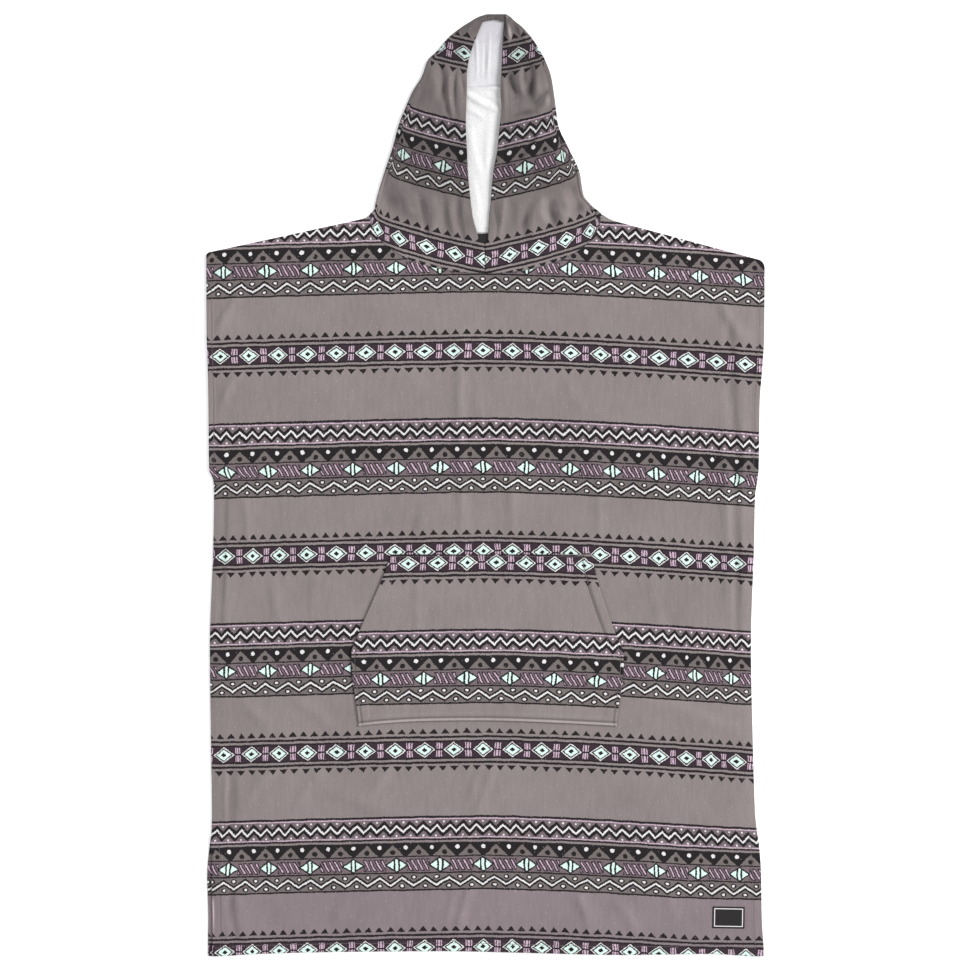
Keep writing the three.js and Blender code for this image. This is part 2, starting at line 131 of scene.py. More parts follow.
def buildStage():
    camera = bpy.data.objects.new("camera", bpy.data.cameras.new("camera"))
    bpy.context.scene.collection.objects.link(camera)
    camera.data.lens = stage["lens"]
    seen = stage["pixelsTall"] * stage["mmPerPixel"] * mm
    x, y = stage["over"]
    camera.location = (x * mm, y * mm, seen * stage["lens"] / camera.data.sensor_width)
    camera.data.clip_end = 50
    bpy.context.scene.camera = camera

    half, level = stage["floorSize"] / 2, -stage["floorBelow"]
    corners = [(-half, -half, level), (half, -half, level), (half, half, level), (-half, half, level)]
    mesh = bpy.data.meshes.new("floor")
    mesh.from_pydata(corners, [], [(0, 1, 2, 3)])
    floor = bpy.data.objects.new("floor", mesh)
    bpy.context.scene.collection.objects.link(floor)
    paper, add = newMaterial("paperBackdrop")
    shade = add("BsdfDiffuse", {}, {"Color": linear(stage["floorColour"])})[0]
    add("OutputMaterial", {}, {"Surface": shade})
    mesh.materials.append(paper)

    for name in ("key", "fill"):
        lamp = bpy.data.lights.new(name + "Softbox", "AREA")
        light = bpy.data.objects.new(name + "Softbox", lamp)
        light.data.energy = stage[name + "Power"]
        light.data.size = stage[name + "Size"]
        light.location = stage[name + "From"]
        light.rotation_euler = (-light.location).to_track_quat("-Z", "Y").to_euler()
        bpy.context.scene.collection.objects.link(light)

    world = bpy.data.worlds.new("studioRoom")
    world.use_nodes = True
    world.node_tree.nodes.clear()
    sky = addNode(world.node_tree, "Background", {}, {
        "Color": linear(stage["skyColour"]), "Strength": stage["skyStrength"]})[0]
    addNode(world.node_tree, "OutputWorld", {}, {"Surface": sky})
    bpy.context.scene.world = world
    bpy.context.scene.view_settings.view_transform = "Standard"


buildStage()
print("stage: camera over the cloth, floor and two softboxes")


# The print: two bands by turns, drawn by hand, on a repeat that runs up the cloth

printing = {
    "repeat": 286.8,
    "ground": "#8b8180",
    "lowGround": "#897c80",  # the ground is a little darker and cooler towards the hem
    "start": 59.1,  # where on the repeat the cut's zero lies
    "lowFrom": (-640, -800),  # heights on the cut where the ground changes
    "wanderAcross": 5,  # the hand-drawn unevenness
    "wanderUp": 2.2,
    "creep": 1.8,  # the ragged edge of the inks
    "inks": {
        "black": "#1f1a1d",
        "bandGrey": "#746c6a",
        "bandMauve": "#76696d",
        "plum": "#382a33",
        "pink": "#cdb2c3",
        "mint": "#dff7ee",
        "white": "#e6e3e2",
    },
}

# what each motif's numbers are, after its ink and its low and high edge within the repeat
motifColumns = {
    "stripe": (),
    "teeth": ("pitch", "width"),
    "bars": ("pitch", "at", "thick"),
    "lozenges": ("pitch", "size", "narrow"),
    "zigzag": ("pitch", "thick"),
    "dots": ("pitch", "size", "narrow", "shift"),
    "hatch": ("pitch", "stroke", "lean", "thick", "clear"),
}
printRows = [dict(zip(("motif", "ink", "low", "high") + motifColumns[row[0]], row)) for row in [
    # narrow band: lozenges and split bars between lines, with a row of teeth on either side
    ("teeth", "black", 82.9, 90.6, 15.6, 12),
    ("stripe", "black", 76.4, 79.6),
    ("stripe", "plum", 46.6, 73),
    ("bars", "pink", 49.6, 69.6, 42, 19.6, 2.7),
    ("bars", "plum", 46, 73, 42, 19, 0.7),
    ("bars", "black", 58.4, 60.8, 42, 19, 5),
    ("lozenges", "black", 46, 73, 42, 13.4, 0.76),
    ("lozenges", "white", 46, 73, 42, 11.6, 0.76),
    ("lozenges", "black", 46, 73, 42, 10, 0.76),
    ("lozenges", "mint", 46, 73, 42, 7.9, 0.76),
    ("lozenges", "black", 46, 73, 42, 3.4, 0.8),
    ("stripe", "black", 71, 73.2),
    ("stripe", "black", 46, 48.2),
    ("stripe", "black", 39.6, 42.9),
    ("teeth", "black", 36.4, 28.9, 16.4, 12.4),
    # broad band, from the top: a fine zigzag
    ("stripe", "bandMauve", 218.9, 249.1),
    ("stripe", "black", 247.7, 250.6),
    ("stripe", "pink", 245.6, 247),
    ("zigzag", "black", 227.6, 237, 19, 7.6),
    ("zigzag", "white", 227.6, 237, 19, 1.7),
    ("dots", "white", 239.1, 245.2, 19, 1.4),
    ("dots", "white", 219.4, 225.5, 19, 1.4, 1, 9.5),
    ("stripe", "pink", 218.8, 220.1),
    ("stripe", "black", 215.5, 218),
    # teeth cut out of black, with spots
    ("stripe", "black", 191.1, 212.5),
    ("teeth", "bandGrey", 193, 209.3, 37, 32),
    ("dots", "black", 194.5, 202.1, 37, 3.6, 1, 18.5),
    ("dots", "white", 201.2, 209.8, 37, 3),
    # pale lozenges on slanted hatching
    ("stripe", "bandMauve", 169.6, 191.1),
    ("hatch", "plum", 171, 188.7, 62, 8.4, 0.55, 3.2, 14),
    ("hatch", "pink", 172.9, 186.8, 62, 8.4, 0.55, 1.05, 15.2),
    ("lozenges", "black", 169.6, 190.1, 62, 11.4, 0.68),
    ("lozenges", "mint", 169.6, 190.1, 62, 8.8, 0.68),
    ("bars", "black", 171.5, 188.1, 62, 3, 1.3),
    ("stripe", "black", 167.1, 169.6),
    # a broad zigzag with ringed spots
    ("stripe", "bandGrey", 144.1, 167.3),
    ("zigzag", "black", 150.4, 161.3, 33, 4.8),
    ("zigzag", "white", 150.4, 161.3, 33, 1.4),
    ("dots", "black", 157.9, 166.5, 33, 3.6, 0.8),
    ("dots", "white", 157.9, 166.5, 33, 1.8, 0.8),
    ("dots", "black", 145.4, 154, 33, 3.6, 0.8, 16.5),
    ("dots", "white", 145.4, 154, 33, 1.8, 0.8, 16.5),
    ("stripe", "black", 142.5, 145),
]]


def printMask(add, row, across, up):
    middle = (row["low"] + row["high"]) / 2
    half = abs(row["high"] - row["low"]) / 2
    inRow = add("Math", "COMPARE", up, middle, half)[0]
    if row["motif"] == "stripe":
        return inRow
    moved = add("Math", "ADD", across, row.get("shift", 0))[0]
    cell = add("Math", "PINGPONG", moved, row["pitch"] / 2)[0]
    if row["motif"] in ("zigzag", "teeth"):
        reach = row.get("width", row["pitch"]) / 2
        slope = (row["high"] - row["low"]) / reach
        start = row["low"] - slope * (row["pitch"] / 2 - reach)
        edge = add("Math", "MULTIPLY_ADD", cell, slope, start)[0]
        if row["motif"] == "zigzag":
            return add("Math", "COMPARE", up, edge, row["thick"])[0]
        side = "LESS_THAN" if slope > 0 else "GREATER_THAN"
        shape = add("Math", side, up, edge)[0]
    elif row["motif"] == "bars":
        shape = add("Math", "COMPARE", cell, row["at"], row["thick"])[0]
    elif row["motif"] == "hatch":
        slanted = add("Math", "MULTIPLY_ADD", up, row["lean"], moved)[0]
        stroke = add("Math", "PINGPONG", slanted, row["stroke"] / 2)[0]
        thin = add("Math", "LESS_THAN", stroke, row["thick"])[0]
        clear = add("Math", "GREATER_THAN", cell, row["clear"])[0]
        shape = add("Math", "MULTIPLY", thin, clear)[0]
    else:
        rise = add("Math", "SUBTRACT", up, middle)[0]
        squeezed = add("Math", "MULTIPLY", cell, row.get("narrow", 1))[0]
        if row["motif"] == "dots":
            pair = add("CombineXYZ", {}, squeezed, rise)[0]
            away = add("VectorMath", "LENGTH", pair)["Value"]
        else:
            upright = add("Math", "ABSOLUTE", rise)[0]
            away = add("Math", "ADD", squeezed, upright)[0]
        return add("Math", "LESS_THAN", away, row["size"])[0]
    return add("Math", "MULTIPLY", shape, inRow)[0]


def makePrintedVelour():
    # Cotton velour towelling: woven with loops, the face sheared to a short pile and then printed.
    # The eye sees a matt face, soft print edges, faint brushed streaks and a little bloom at the folds.
    material, add, cut = newCloth("printedVelourTowelling")
    place = add("SeparateXYZ", {}, cut)
    hand = add("TexNoise", flatNoise, {"Vector": cut, "Scale": 0.045, "Detail": 2.0})["Color"]
    wander = add("SeparateXYZ", {}, hand)
    across = add("Math", "MULTIPLY_ADD", wander[0], printing["wanderAcross"], place[0])[0]
    upCloth = add("Math", "MULTIPLY_ADD", wander[1], printing["wanderUp"], place[1])[0]
    # ink creeps along the pile, so edges are ragged by half a millimetre
    creep = add("TexNoise", flatNoise, {"Vector": cut, "Scale": 0.55, "Detail": 1.0})["Color"]
    crept = add("SeparateXYZ", {}, creep)
    across = add("Math", "MULTIPLY_ADD", crept[0], printing["creep"], across)[0]
    upCloth = add("Math", "MULTIPLY_ADD", crept[1], printing["creep"], upCloth)[0]
    lowest = add("Math", "ADD", upCloth, printing["start"] - printing["wanderUp"] / 2)[0]
    up = add("Math", "FLOORED_MODULO", lowest, printing["repeat"])[0]
    lower = add("MapRange", {}, place[1], *printing["lowFrom"])[0]
    colour = add("Mix", colourMix, {
        0: lower, 6: linear(printing["ground"]), 7: linear(printing["lowGround"])})[2]
    for row in printRows:
        mask = printMask(add, row, across, up)
        colour = add("Mix", colourMix, {
            0: mask, 6: colour, 7: linear(printing["inks"][row["ink"]])})[2]
    # pile: real tufts stand 0.6 mm apart, drawn at 1.6 mm so that they show
    pile = add("TexNoise", flatNoise, {
        "Vector": cut, "Scale": 0.62, "Detail": 3.0, "Roughness": 0.6})[0]
    stretched = add("VectorMath", "MULTIPLY", cut, (1, 0.22, 1))[0]
    streaks = add("TexNoise", flatNoise, {"Vector": stretched, "Scale": 0.16, "Detail": 2.0})[0]
    brushed = add("TexNoise", flatNoise, {"Vector": cut, "Scale": 0.013, "Detail": 3.0})[0]
    nap = add("Math", "MULTIPLY_ADD", streaks, 0.5, pile)[0]
    nap = add("Math", "MULTIPLY_ADD", brushed, 0.57, nap)[0]
    tone = add("MapRange", {"clamp": False}, nap, 0.68, 1.39, 0.509, 0.683)[0]
    # painted shade and painted highlights carried on the mesh, with some tone, darken or lighten the pile,
    # as on the hood
    lightAndToneFactor = add("Attribute", {"attribute_name": "nap"})["Fac"]
    tone = add("Math", "MULTIPLY", tone, lightAndToneFactor)[0]
    toned = add("VectorMath", "SCALE", {0: colour, "Scale": tone})[0]
    lint = add("TexVoronoi", {"voronoi_dimensions": "2D"}, {"Vector": cut, "Scale": 0.05})
    fleck = add("Math", "LESS_THAN", lint["Distance"], 0.03)[0]
    fleck = add("Math", "MULTIPLY", fleck, 0.2)[0]
    faced = add("Mix", colourMix, {0: fleck, 6: toned, 7: linear("#cec8c6")})[2]
    relief = add("Math", "MULTIPLY_ADD", streaks, 0.8, pile)[0]
    coverCloth(add, faced, relief, (0.55, 0.0007), (pile, 0, 1, 0.86, 0.98), {
        "IOR": 1.5, "Specular IOR Level": 0.15, "Sheen Weight": 0.04, "Sheen Roughness": 0.6})
    return material


def makeWhiteTerry():
    # The reverse of the same towelling: uncut cotton loops, undyed and bleached.
    # The eye sees a bright knobbly white with small soft shadows between the loops.
    material, add, cut = newCloth("whiteTerryLoops")
    # loops stand 1.2 mm apart, drawn at 2.2 mm so that they show
    loops = add("TexVoronoi", {"voronoi_dimensions": "2D", "feature": "SMOOTH_F1"}, {
        "Vector": cut, "Scale": 0.45, "Smoothness": 0.4})[0]
    soft = add("TexNoise", flatNoise, {"Vector": cut, "Scale": 0.03, "Detail": 3.0})[0]
    depth = add("MapRange", {}, loops, 0.1, 0.8, 1, 0)[0]
    mixed = add("Math", "MULTIPLY_ADD", soft, 0.7, depth)[0]
    shade = add("MapRange", {}, mixed, 0.2, 1.4)[0]
    white = add("Mix", colourMix, {0: shade, 6: linear("#b0afb1"), 7: linear("#c1c0be")})[2]
    # painted shade: deep in the hood and along its crease the white is painted greyer and a little
    # lavender
    paintedReverseShade = add("Attribute", {"attribute_name": "nap"})["Fac"]
    colour = add("Mix", colourMix, {0: paintedReverseShade, 6: linear("#8e8b94"), 7: white})[2]
    coverCloth(add, colour, depth, (0.35, 0.0007), (loops, 0, 1, 0.88, 1), {
        "IOR": 1.5, "Specular IOR Level": 0.2, "Sheen Weight": 0.1, "Sheen Roughness": 0.6})
    return material


def makeThread():
    # Core-spun polyester sewing thread, two plies twisted together.
    # The eye sees a fine slanting twist and a faint gloss.
    material, add, cut = newCloth("polyesterThread")
    place = add("SeparateXYZ", {}, cut)
    # the plies turn once in 0.9 mm
    turn = add("Math", "MULTIPLY_ADD", place[0], 1.1, place[1])[0]
    ply = add("Math", "PINGPONG", turn, 0.5)[0]
    tint = add("MapRange", {}, ply, 0, 0.5)[0]
    colour = add("Mix", colourMix, {0: tint, 6: linear("#3f3739"), 7: linear("#6b6162")})[2]
    coverCloth(add, colour, ply, (0.5, 0.0001), (ply, 0, 0.5, 0.6, 0.45), {
        "IOR": 1.54, "Sheen Weight": 0.1})
    return material


def makeDamask(name, size, frameIn=None):
    # Damask label: black polyester woven in a tight satin, with a pale thread for the frame.
    # The eye sees fine ribs along the weft and a low shine.
    material, add, cut = newCloth(name)
    place = add("SeparateXYZ", {}, cut)
    # picks lie 0.25 mm apart, drawn at 0.9 mm so that they show
    rib = add("Math", "PINGPONG", place[1], 0.45)[0]
    fleck = add("TexNoise", flatNoise, {"Vector": cut, "Scale": 0.8, "Detail": 2.0})[0]
    tint = add("Math", "MULTIPLY_ADD", rib, 0.8, fleck)[0]
    shade = add("MapRange", {}, tint, 0.3, 1)[0]
    colour = add("Mix", colourMix, {0: shade, 6: linear("#0d0b0c"), 7: linear("#1b1719")})[2]
    if frameIn:
        reach = []
        for axis, length in enumerate(size):
            away = add("Math", "ABSOLUTE", place[axis])[0]
            reach.append(add("Math", "SUBTRACT", away, length / 2)[0])
        nearest = add("Math", "MAXIMUM", reach[0], reach[1])[0]
        line = add("Math", "COMPARE", nearest, -frameIn, 0.6)[0]
        colour = add("Mix", colourMix, {0: line, 6: colour, 7: linear("#bfbabc")})[2]
    coverCloth(add, colour, tint, (0.5, 0.0002), (rib, 0, 0.45, 0.62, 0.45), {
        "IOR": 1.54, "Specular IOR Level": 0.2})
    return material


velour = makePrintedVelour()
terry = makeWhiteTerry()
thread = makeThread()
print("materials: printed velour, white terry, thread")


# Curves, folds and walls

def follow(rows, column, values, along="y"):
    # a smooth curve through one column of a table, which never swings past its rows
    known = np.array([row[along] for row in rows], float)
    put = np.array([row[column] for row in rows], float)
    span = np.diff(known)
    slope = np.diff(put) / span
    before, after = slope[:-1], slope[1:]
    level = before * after <= 0
    total = np.where(level, 1, before + after)
    tangent = np.zeros(len(known))
    tangent[1:-1] = np.where(level, 0, 2 * before * after / total)
    at = np.clip(values, known[0], known[-1])
    k = np.clip(np.searchsorted(known, at, side="right") - 1, 0, len(span) - 1)
    t = (at - known[k]) / span[k]
    swing = tangent[k] * t * (1 - t) ** 2 - tangent[k + 1] * t ** 2 * (1 - t)
    return put[k] * (1 - t) ** 2 * (1 + 2 * t) + put[k + 1] * t ** 2 * (3 - 2 * t) + span[k] * swing


def ramp(values, low, high):
    return np.clip((values - low) / (high - low), 0, 1)


def ease(values, low, high):
    t = ramp(values, low, high)
    return t * t * (3 - 2 * t)


folding = {
    "bend": 0.35,  # how far a fold's run wanders, as a share of its width
    "uneven": 0.22,
    "steep": (0.75, 1.2),  # its two sides, as shares of its width, turned about from fold to fold
    "swelling": (0.5, 2.6),  # beside a trough: share of its depth, and of its width
}


def foldHeight(folds, x, y):
    # each fold is round across, dies away at both ends, and is a little uneven along its run
    height = np.zeros(np.shape(x))
    swellingHigh, swellingWide = folding["swelling"]
    for number, (x0, y0, x1, y1, width, high) in enumerate(folds):
        run = math.hypot(x1 - x0, y1 - y0)
        ux, uy = (x1 - x0) / run, (y1 - y0) / run
        along = ((x - x0) * ux + (y - y0) * uy) / run
        bend = folding["bend"] * width * np.sin(5 * along + number)
        across = (x - x0) * uy - (y - y0) * ux + bend
        ends = np.sin(np.pi * np.clip(along, 0, 1)) ** 0.8
        part = ends * (1 + folding["uneven"] * np.sin(11 * along + 2 * number))
        steep = np.where(across * (-1) ** number > 0, *folding["steep"])
        ridge = hump(across / width, steep)
        if high < 0:
            ridge -= swellingHigh * hump(across / width, swellingWide)
        height += high * part * ridge
    return height


def keepAbove(height, least, soft=0.15):
    # rounds off whatever would sink lower than the cloth underneath
    over = height - least
    return least + (over + np.sqrt(over ** 2 + soft)) / 2


def slackWaves(x, y):
    # the faint unevenness of a soft cloth that was smoothed out by hand
    return (0.22 * np.sin(x / 31 + 0.8 * np.sin(y / 83)) * np.sin(y / 57 + 1.3)
            + 0.16 * np.sin(x / 17.5 + y / 140 + 0.6) * np.sin(y / 71 + x / 230))


def edgeRound(distance, reach=cloth["edgeRound"], least=cloth["edgeThin"]):
    return least + (1 - least) * np.sqrt(1 - (1 - np.clip(distance / reach, 0, 1)) ** 2)


def hemRise(distance, width):
    return cloth["hemRise"] * (1 - ease(distance, width, width + cloth["hemRamp"]))


def stitchGroove(distance, inset, depth=0.55, width=1.3):
    # the row of stitches pulls the pile down
    return -depth * hump(distance - inset, width)


def spread(*runs):
    # numbers from one value to the next in steps of about the given size: (start, step), ..., end
    out = []
    for (start, step), after in zip(runs[:-1], runs[1:]):
        stop = after[0] if isinstance(after, tuple) else after
        count = max(1, round(abs(stop - start) / step))
        out += list(np.linspace(start, stop, count, endpoint=False))
    return np.array(out + [runs[-1]])


def hump(distance, width):
    # 1 on a line and fading to either side of it
    return np.exp(-((distance / width) ** 2))


def addPiece(name, mesh, materials):
    for material in materials:
        mesh.materials.append(material)
    mesh.shade_smooth()
    piece = bpy.data.objects.new(name, mesh)
    bpy.context.scene.collection.objects.link(piece)
    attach(piece, "root")
    return piece


def addCloth(name, mesh):
    return addPiece(name, mesh, [velour, terry])


def bothFaces(x, y, middle, half):
    return [np.stack([x, y, middle + side * half], -1) for side in (1, -1)]


def wallMesh(name, outer, inner, cut, nap=1, paintedReverseShade=1, turned=None):
    # a closed wall from two grids of points in millimetres, the face first and the reverse second
    rows, columns = outer.shape[:2]
    at = np.arange(rows * columns).reshape(rows, columns)
    back = at + rows * columns
    face = np.stack([at[:-1, :-1], at[:-1, 1:], at[1:, 1:], at[1:, :-1]], -1).reshape(-1, 4)
    reverse = np.stack([back[:-1, :-1], back[1:, :-1], back[1:, 1:], back[:-1, 1:]], -1).reshape(-1, 4)
    rims = [
        np.stack([at[:-1, 0], at[1:, 0], back[1:, 0], back[:-1, 0]], -1),
        np.stack([at[:-1, -1], back[:-1, -1], back[1:, -1], at[1:, -1]], -1),
        np.stack([at[0, :-1], back[0, :-1], back[0, 1:], at[0, 1:]], -1),
        np.stack([at[-1, :-1], at[-1, 1:], back[-1, 1:], back[-1, :-1]], -1),
    ]
    quads = np.concatenate([face, reverse, *rims])
    points = np.concatenate([outer.reshape(-1, 3), inner.reshape(-1, 3)]) * mm
    mesh = bpy.data.meshes.new(name)
    mesh.from_pydata(points.tolist(), [], quads.tolist())
    isReverse = np.zeros(len(quads), int)
    # a turned-in hem shows the printed face on the inside too
    isReverse[len(face):len(face) + len(reverse)] = 1 if turned is None else ~turned[:-1, :-1].ravel()
    mesh.polygons.foreach_set("material_index", isReverse)
    places = np.concatenate([cut.reshape(-1, 2)] * 2)
    mesh.uv_layers.new(name="cut").data.foreach_set("uv", places[quads.ravel()].ravel())
    # the face points carry tone with painted light, the reverse points painted shade
    lightAndToneFactor = [np.broadcast_to(value, (rows, columns)).ravel() for value in (nap, paintedReverseShade)]
    mesh.attributes.new("nap", "FLOAT", "POINT").data.foreach_set("value", np.concatenate(lightAndToneFactor))
    return mesh


# The body: where its edges lie

body = {
    "halfWidth": 400,
    "halfLength": 675,
    "neckHalf": 165,
    "neckY": 384,
    "frontDrop": 81,
    "backDrop": 22,
    "leftTip": 333,
    "rightTip": 321,
    "leftCorner": 4,
    "rightCorner": 9,
    "leftPeak": 1.5,  # the shoulder seam lifts beside the neck
    "rightPeak": 5,
    "peakWidth": 10,
    "pulledFrom": 250,  # the sides are drawn in or out from here to the edge
    "armholeEnd": 14,
    "ventTop": -495,
    "leftVentIn": 6.5,  # at the left vent the back panel's hem peeps out beside the front
    "hemWidth": 13,
    "armHemWidth": 8.5,
    "seamRollWidth": 8,
    "seamRollDrop": 1,
    "lift": 1.4,
    "liftRamp": 24,
    "foldGain": 1.5,
    "smooth": (14, 42),  # round the pocket and the label it starts to fold again between these distances
    "hemNarrows": (-400, -300),  # the side hems are broad below and narrow above
    "printStart": 194.7,  # height of a narrow band's middle, at the middle of the garment
}

sideRows = table(("y", "left", "right"), [
    (-675, -398, 399),
    (-620, -397.5, 396),
    (-560, -399, 395),
    (-520, -396, 392.5),
    (-495, -392.5, 389),
    (-470, -392, 386.5),
    (-360, -393.5, 383),
    (-230, -395, 380.5),
    (-85, -390, 385),
    (-15, -389, 386.5),
    (8, -390, 390),
    (22, -396, 391.5),
    (120, -397, 393),
    (170, -398, 397),
    (215, -399.5, 399.5),
    (300, -400, 400),
    (340, -400, 400),
])

hemRows = table(("x", "y"), [
    (-400, -675),
    (-330, -671.5),
    (-200, -668.5),
    (-60, -667.5),
    (60, -670),
    (200, -673),
    (320, -671.5),
    (400, -675),
])

# x and y where each soft ridge (+) or trough (-) starts and ends, its half width and its height
bodyFolds = [
    (-352, 288, -388, 212, 7, 2.6),
    (-350, 178, -388, 88, 7, 2.2),
    (328, 274, 374, 200, 7, 2.4),
    (-33, 240, -34, -92, 6.2, 3),
    (-10, 170, -14, 60, 5.5, 0.9),
    (36, 60, 38, -92, 5.5, 2),
    (158, 40, 162, -96, 6.2, 1.9),
    (-98, -20, -106, -88, 5.5, -1.4),
    (104, 165, 146, 100, 7, 1),
    (349, 262, 364, -20, 6.2, -3.2),
    (360, 70, 357, -255, 6.2, -3.6),
    (341, 150, 345, -190, 7.8, 1.5),
    (-352, 0, -338, -92, 7, 1.6),
    (-374, 10, -379, -240, 5.5, -2.2),
    (-312, -118, -290, -208, 7, 1.8),
    (-232, -60, -248, -190, 7.8, 1),
    (236, -110, 250, -230, 7.8, 1.2),
    (-352, -298, -306, -358, 7.8, 2),
    (-286, -300, -212, -352, 8.6, 1.6),
    (200, -300, 372, -348, 9.4, 1.5),
    (-366, -375, -362, -510, 6.2, -3.4),
    (-290, -398, -352, -468, 7.8, 2.2),
    (-226, -405, -280, -462, 7.8, 1.8),
    (-118, -390, -182, -458, 7.8, 1.9),
    (-250, -430, -120, -478, 9.4, 1.2),
    (12, -390, -14, -486, 5.5, 2.4),
    (-8, -392, -26, -470, 4.7, 1.5),
    (-367, -565, -355, -655, 6.2, -3.4),
    (-17, -562, -46, -650, 5.5, 2.6),
    (-38, -570, -62, -640, 4.7, 1.4),
    (128, -572, 150, -650, 7, 2.4),
    (180, -585, 226, -650, 7.8, 1.9),
    (-200, -575, -214, -640, 7, 1.1),
    (262, -560, 276, -630, 7, 1.1),
]


def sideEdge(y, side):
    return np.where(side < 0, follow(sideRows, "left", y), follow(sideRows, "right", y))


def frontEdge(y, side):
    drawnIn = body["leftVentIn"] * (1 - ease(y, body["ventTop"] - 50, body["ventTop"] - 8))
    return sideEdge(y, side) + np.where(side < 0, drawnIn, 0)


def hemEdge(x):
    return follow(hemRows, "y", x, "x")


def neckline(x, drop, gap):
    across = np.minimum(1, np.abs(x) / (body["neckHalf"] + gap))
    return body["neckY"] - (drop + gap) * np.sqrt(1 - across ** 2)


def shoulderSeam(x):
    tip, corner, peak = [np.where(x < 0, body["left" + name], body["right" + name])
                         for name in ("Tip", "Corner", "Peak")]
    out = (np.abs(x) - body["neckHalf"]) / (body["halfWidth"] - body["neckHalf"])
    past = np.clip(np.abs(x) - (body["halfWidth"] - corner), 0, corner)
    rounded = corner - np.sqrt(corner ** 2 - past ** 2)
    lifted = peak * hump(np.abs(x) - body["neckHalf"], body["peakWidth"])
    return body["neckY"] + (tip - body["neckY"]) * np.maximum(0, out) - rounded + lifted


def bodyTop(x, drop):
    return np.where(np.abs(x) < body["neckHalf"], neckline(x, drop, cloth["seamGap"] / 2), shoulderSeam(x))


def alongSides(x, y, edge):
    side = np.sign(x)
    pull = ease(np.abs(x), body["pulledFrom"], body["halfWidth"])
    return x + (edge(y, side) - side * body["halfWidth"]) * pull


def fromSide(x, y, edge):
    return np.abs(edge(y, np.where(x < 0, -1, 1)) - x)


bandSag = {
    "left": (8.6, 369, 1.3),  # how far, at how far out, and as what power of the way
    "right": (18.6, 362, 1.5),
    "cornerFrom": 290,  # right of here the bands sag less towards the hem
    "cornerShare": 0.25,
    "cornerY": (-610, -420),
    "all": 1.2,
    "shorter": (6.9, -100, 570, 1.3),  # from the waist down the repeat is a little shorter
}


def printDrop(x, y):
    # the bands sag towards the sides, more on the right
    out, corner, share = np.abs(x), bandSag["cornerFrom"], bandSag["cornerShare"]
    eased = corner + (out - corner) * (share + (1 - share) * ease(y, *bandSag["cornerY"]))
    right = np.where(out > corner, np.minimum(out, eased), out)
    far, at, power = bandSag["left"]
    sag = far * (out / at) ** power
    far, at, power = bandSag["right"]
    sag = np.where(x < 0, sag, far * (right / at) ** power)
    far, start, run, power = bandSag["shorter"]
    return sag + bandSag["all"] - far * np.clip((start - y) / run, 0, 1) ** power


def openSide(y):
    arm = ease(y, body["armholeEnd"] - 6, body["armholeEnd"] + 10)
    return arm + 1 - ease(y, body["ventTop"] - 12, body["ventTop"] + 4)


def sideHem(y):
    broader = body["hemWidth"] - body["armHemWidth"]
    return body["armHemWidth"] + broader * (1 - ease(y, *body["hemNarrows"]))


def panelTall():
    return body["rightTip"] - body["rightCorner"] - hemEdge(400.0)


def panelGrid(side, levels, edge, drop):
    # columns run from both side edges to the middle, rows from the hem up to the top edge
    columns = np.concatenate([side[:-1] - body["halfWidth"], (body["halfWidth"] - side)[::-1]])
    share, column = np.meshgrid(levels / panelTall(), columns, indexing="ij")
    foot, head = hemEdge(column), bodyTop(column, drop)
    y = foot + (head - foot) * share
    x = alongSides(column, y, edge)
    cut = np.stack([column, y + printDrop(x, y) - body["printStart"]], -1)
    thin = edgeRound(np.minimum(np.minimum(fromSide(x, y, edge), y - foot), head - y))
    return x, y, y - foot, thin, cut


# The pocket and the labels, whose places the front panel needs

pocket = {
    "wall": 1.6,
    "puff": 1.1,
    "mouthPuff": ((-262, -225), (-130, -105)),  # it stands open at the sides between these heights
    "sideHem": 15,
    "bottomHem": 10,
    "topHem": 7,
    "stitchIn": 5,
    # its foot bows: left and right drop so much by the reach, as a power of the way out
    "bow": {"middle": 3.1, "left": (8.5, 3), "right": (7.7, 1.4), "reach": 185, "endY": -262},
    "printShift": 16.5,  # its bands sit this much lower than the panel's
    "printAside": 23,
    "topStitchIn": 3,
    "mouthEase": (-235, -215),  # between these heights its side turns into the open mouth
    "mouthStitchFrom": -225,
    "sewnUpTo": -232,
}
pocketRows = table(("y", "left", "right"), [
    (-340, -182, 188),
    (-300, -187, 193),
    (-262, -192, 198),
    (-240, -192, 197),
    (-215, -183, 187),
    (-118, -142, 156),
    (-99, -136, 153),
])
wovenLabel = {"x": 348, "y": -619, "width": 46, "height": 31, "wall": 0.9, "turn": -1, "frameIn": 3}
sizeLabel = {"x": -3, "width": 40, "height": 22, "wall": 0.6}


def pocketSides(y):
    return follow(pocketRows, "left", y), follow(pocketRows, "right", y)


def underPatch(x, y):
    # 1 under the pocket and the label, where the panel lies smooth
    left, right = pocketSides(y)
    beside = np.maximum(left - x, x - right)
    above = np.maximum(pocketRows[0]["y"] - y, y - pocketRows[-1]["y"])
    toPocket = np.maximum(np.maximum(beside, above), 0)
    toLabel = np.maximum(np.abs(x - wovenLabel["x"]) - wovenLabel["width"] / 2,
                         np.abs(y - wovenLabel["y"]) - wovenLabel["height"] / 2)
    return 1 - ease(np.minimum(toPocket, np.maximum(toLabel, 0)), *body["smooth"])


backFolds = [
    (-210, 260, -196, 90, 10, 0.9),
    (120, 300, 96, 120, 11, 0.8),
    (-40, 120, -58, -90, 10, 1),
    (250, 60, 262, -140, 10, 0.9),
    (-300, -60, -270, -250, 11, 0.8),
    (60, -160, 40, -330, 10, 0.9),
    (-160, -330, -190, -500, 10, 0.8),
    (170, -380, 216, -540, 11, 1),
    (-60, -480, -40, -610, 9, 0.9),
    (-330, 200, -250, 150, 10, 0.7),
    (300, -420, 250, -470, 9, 0.7),
]


# Front panel

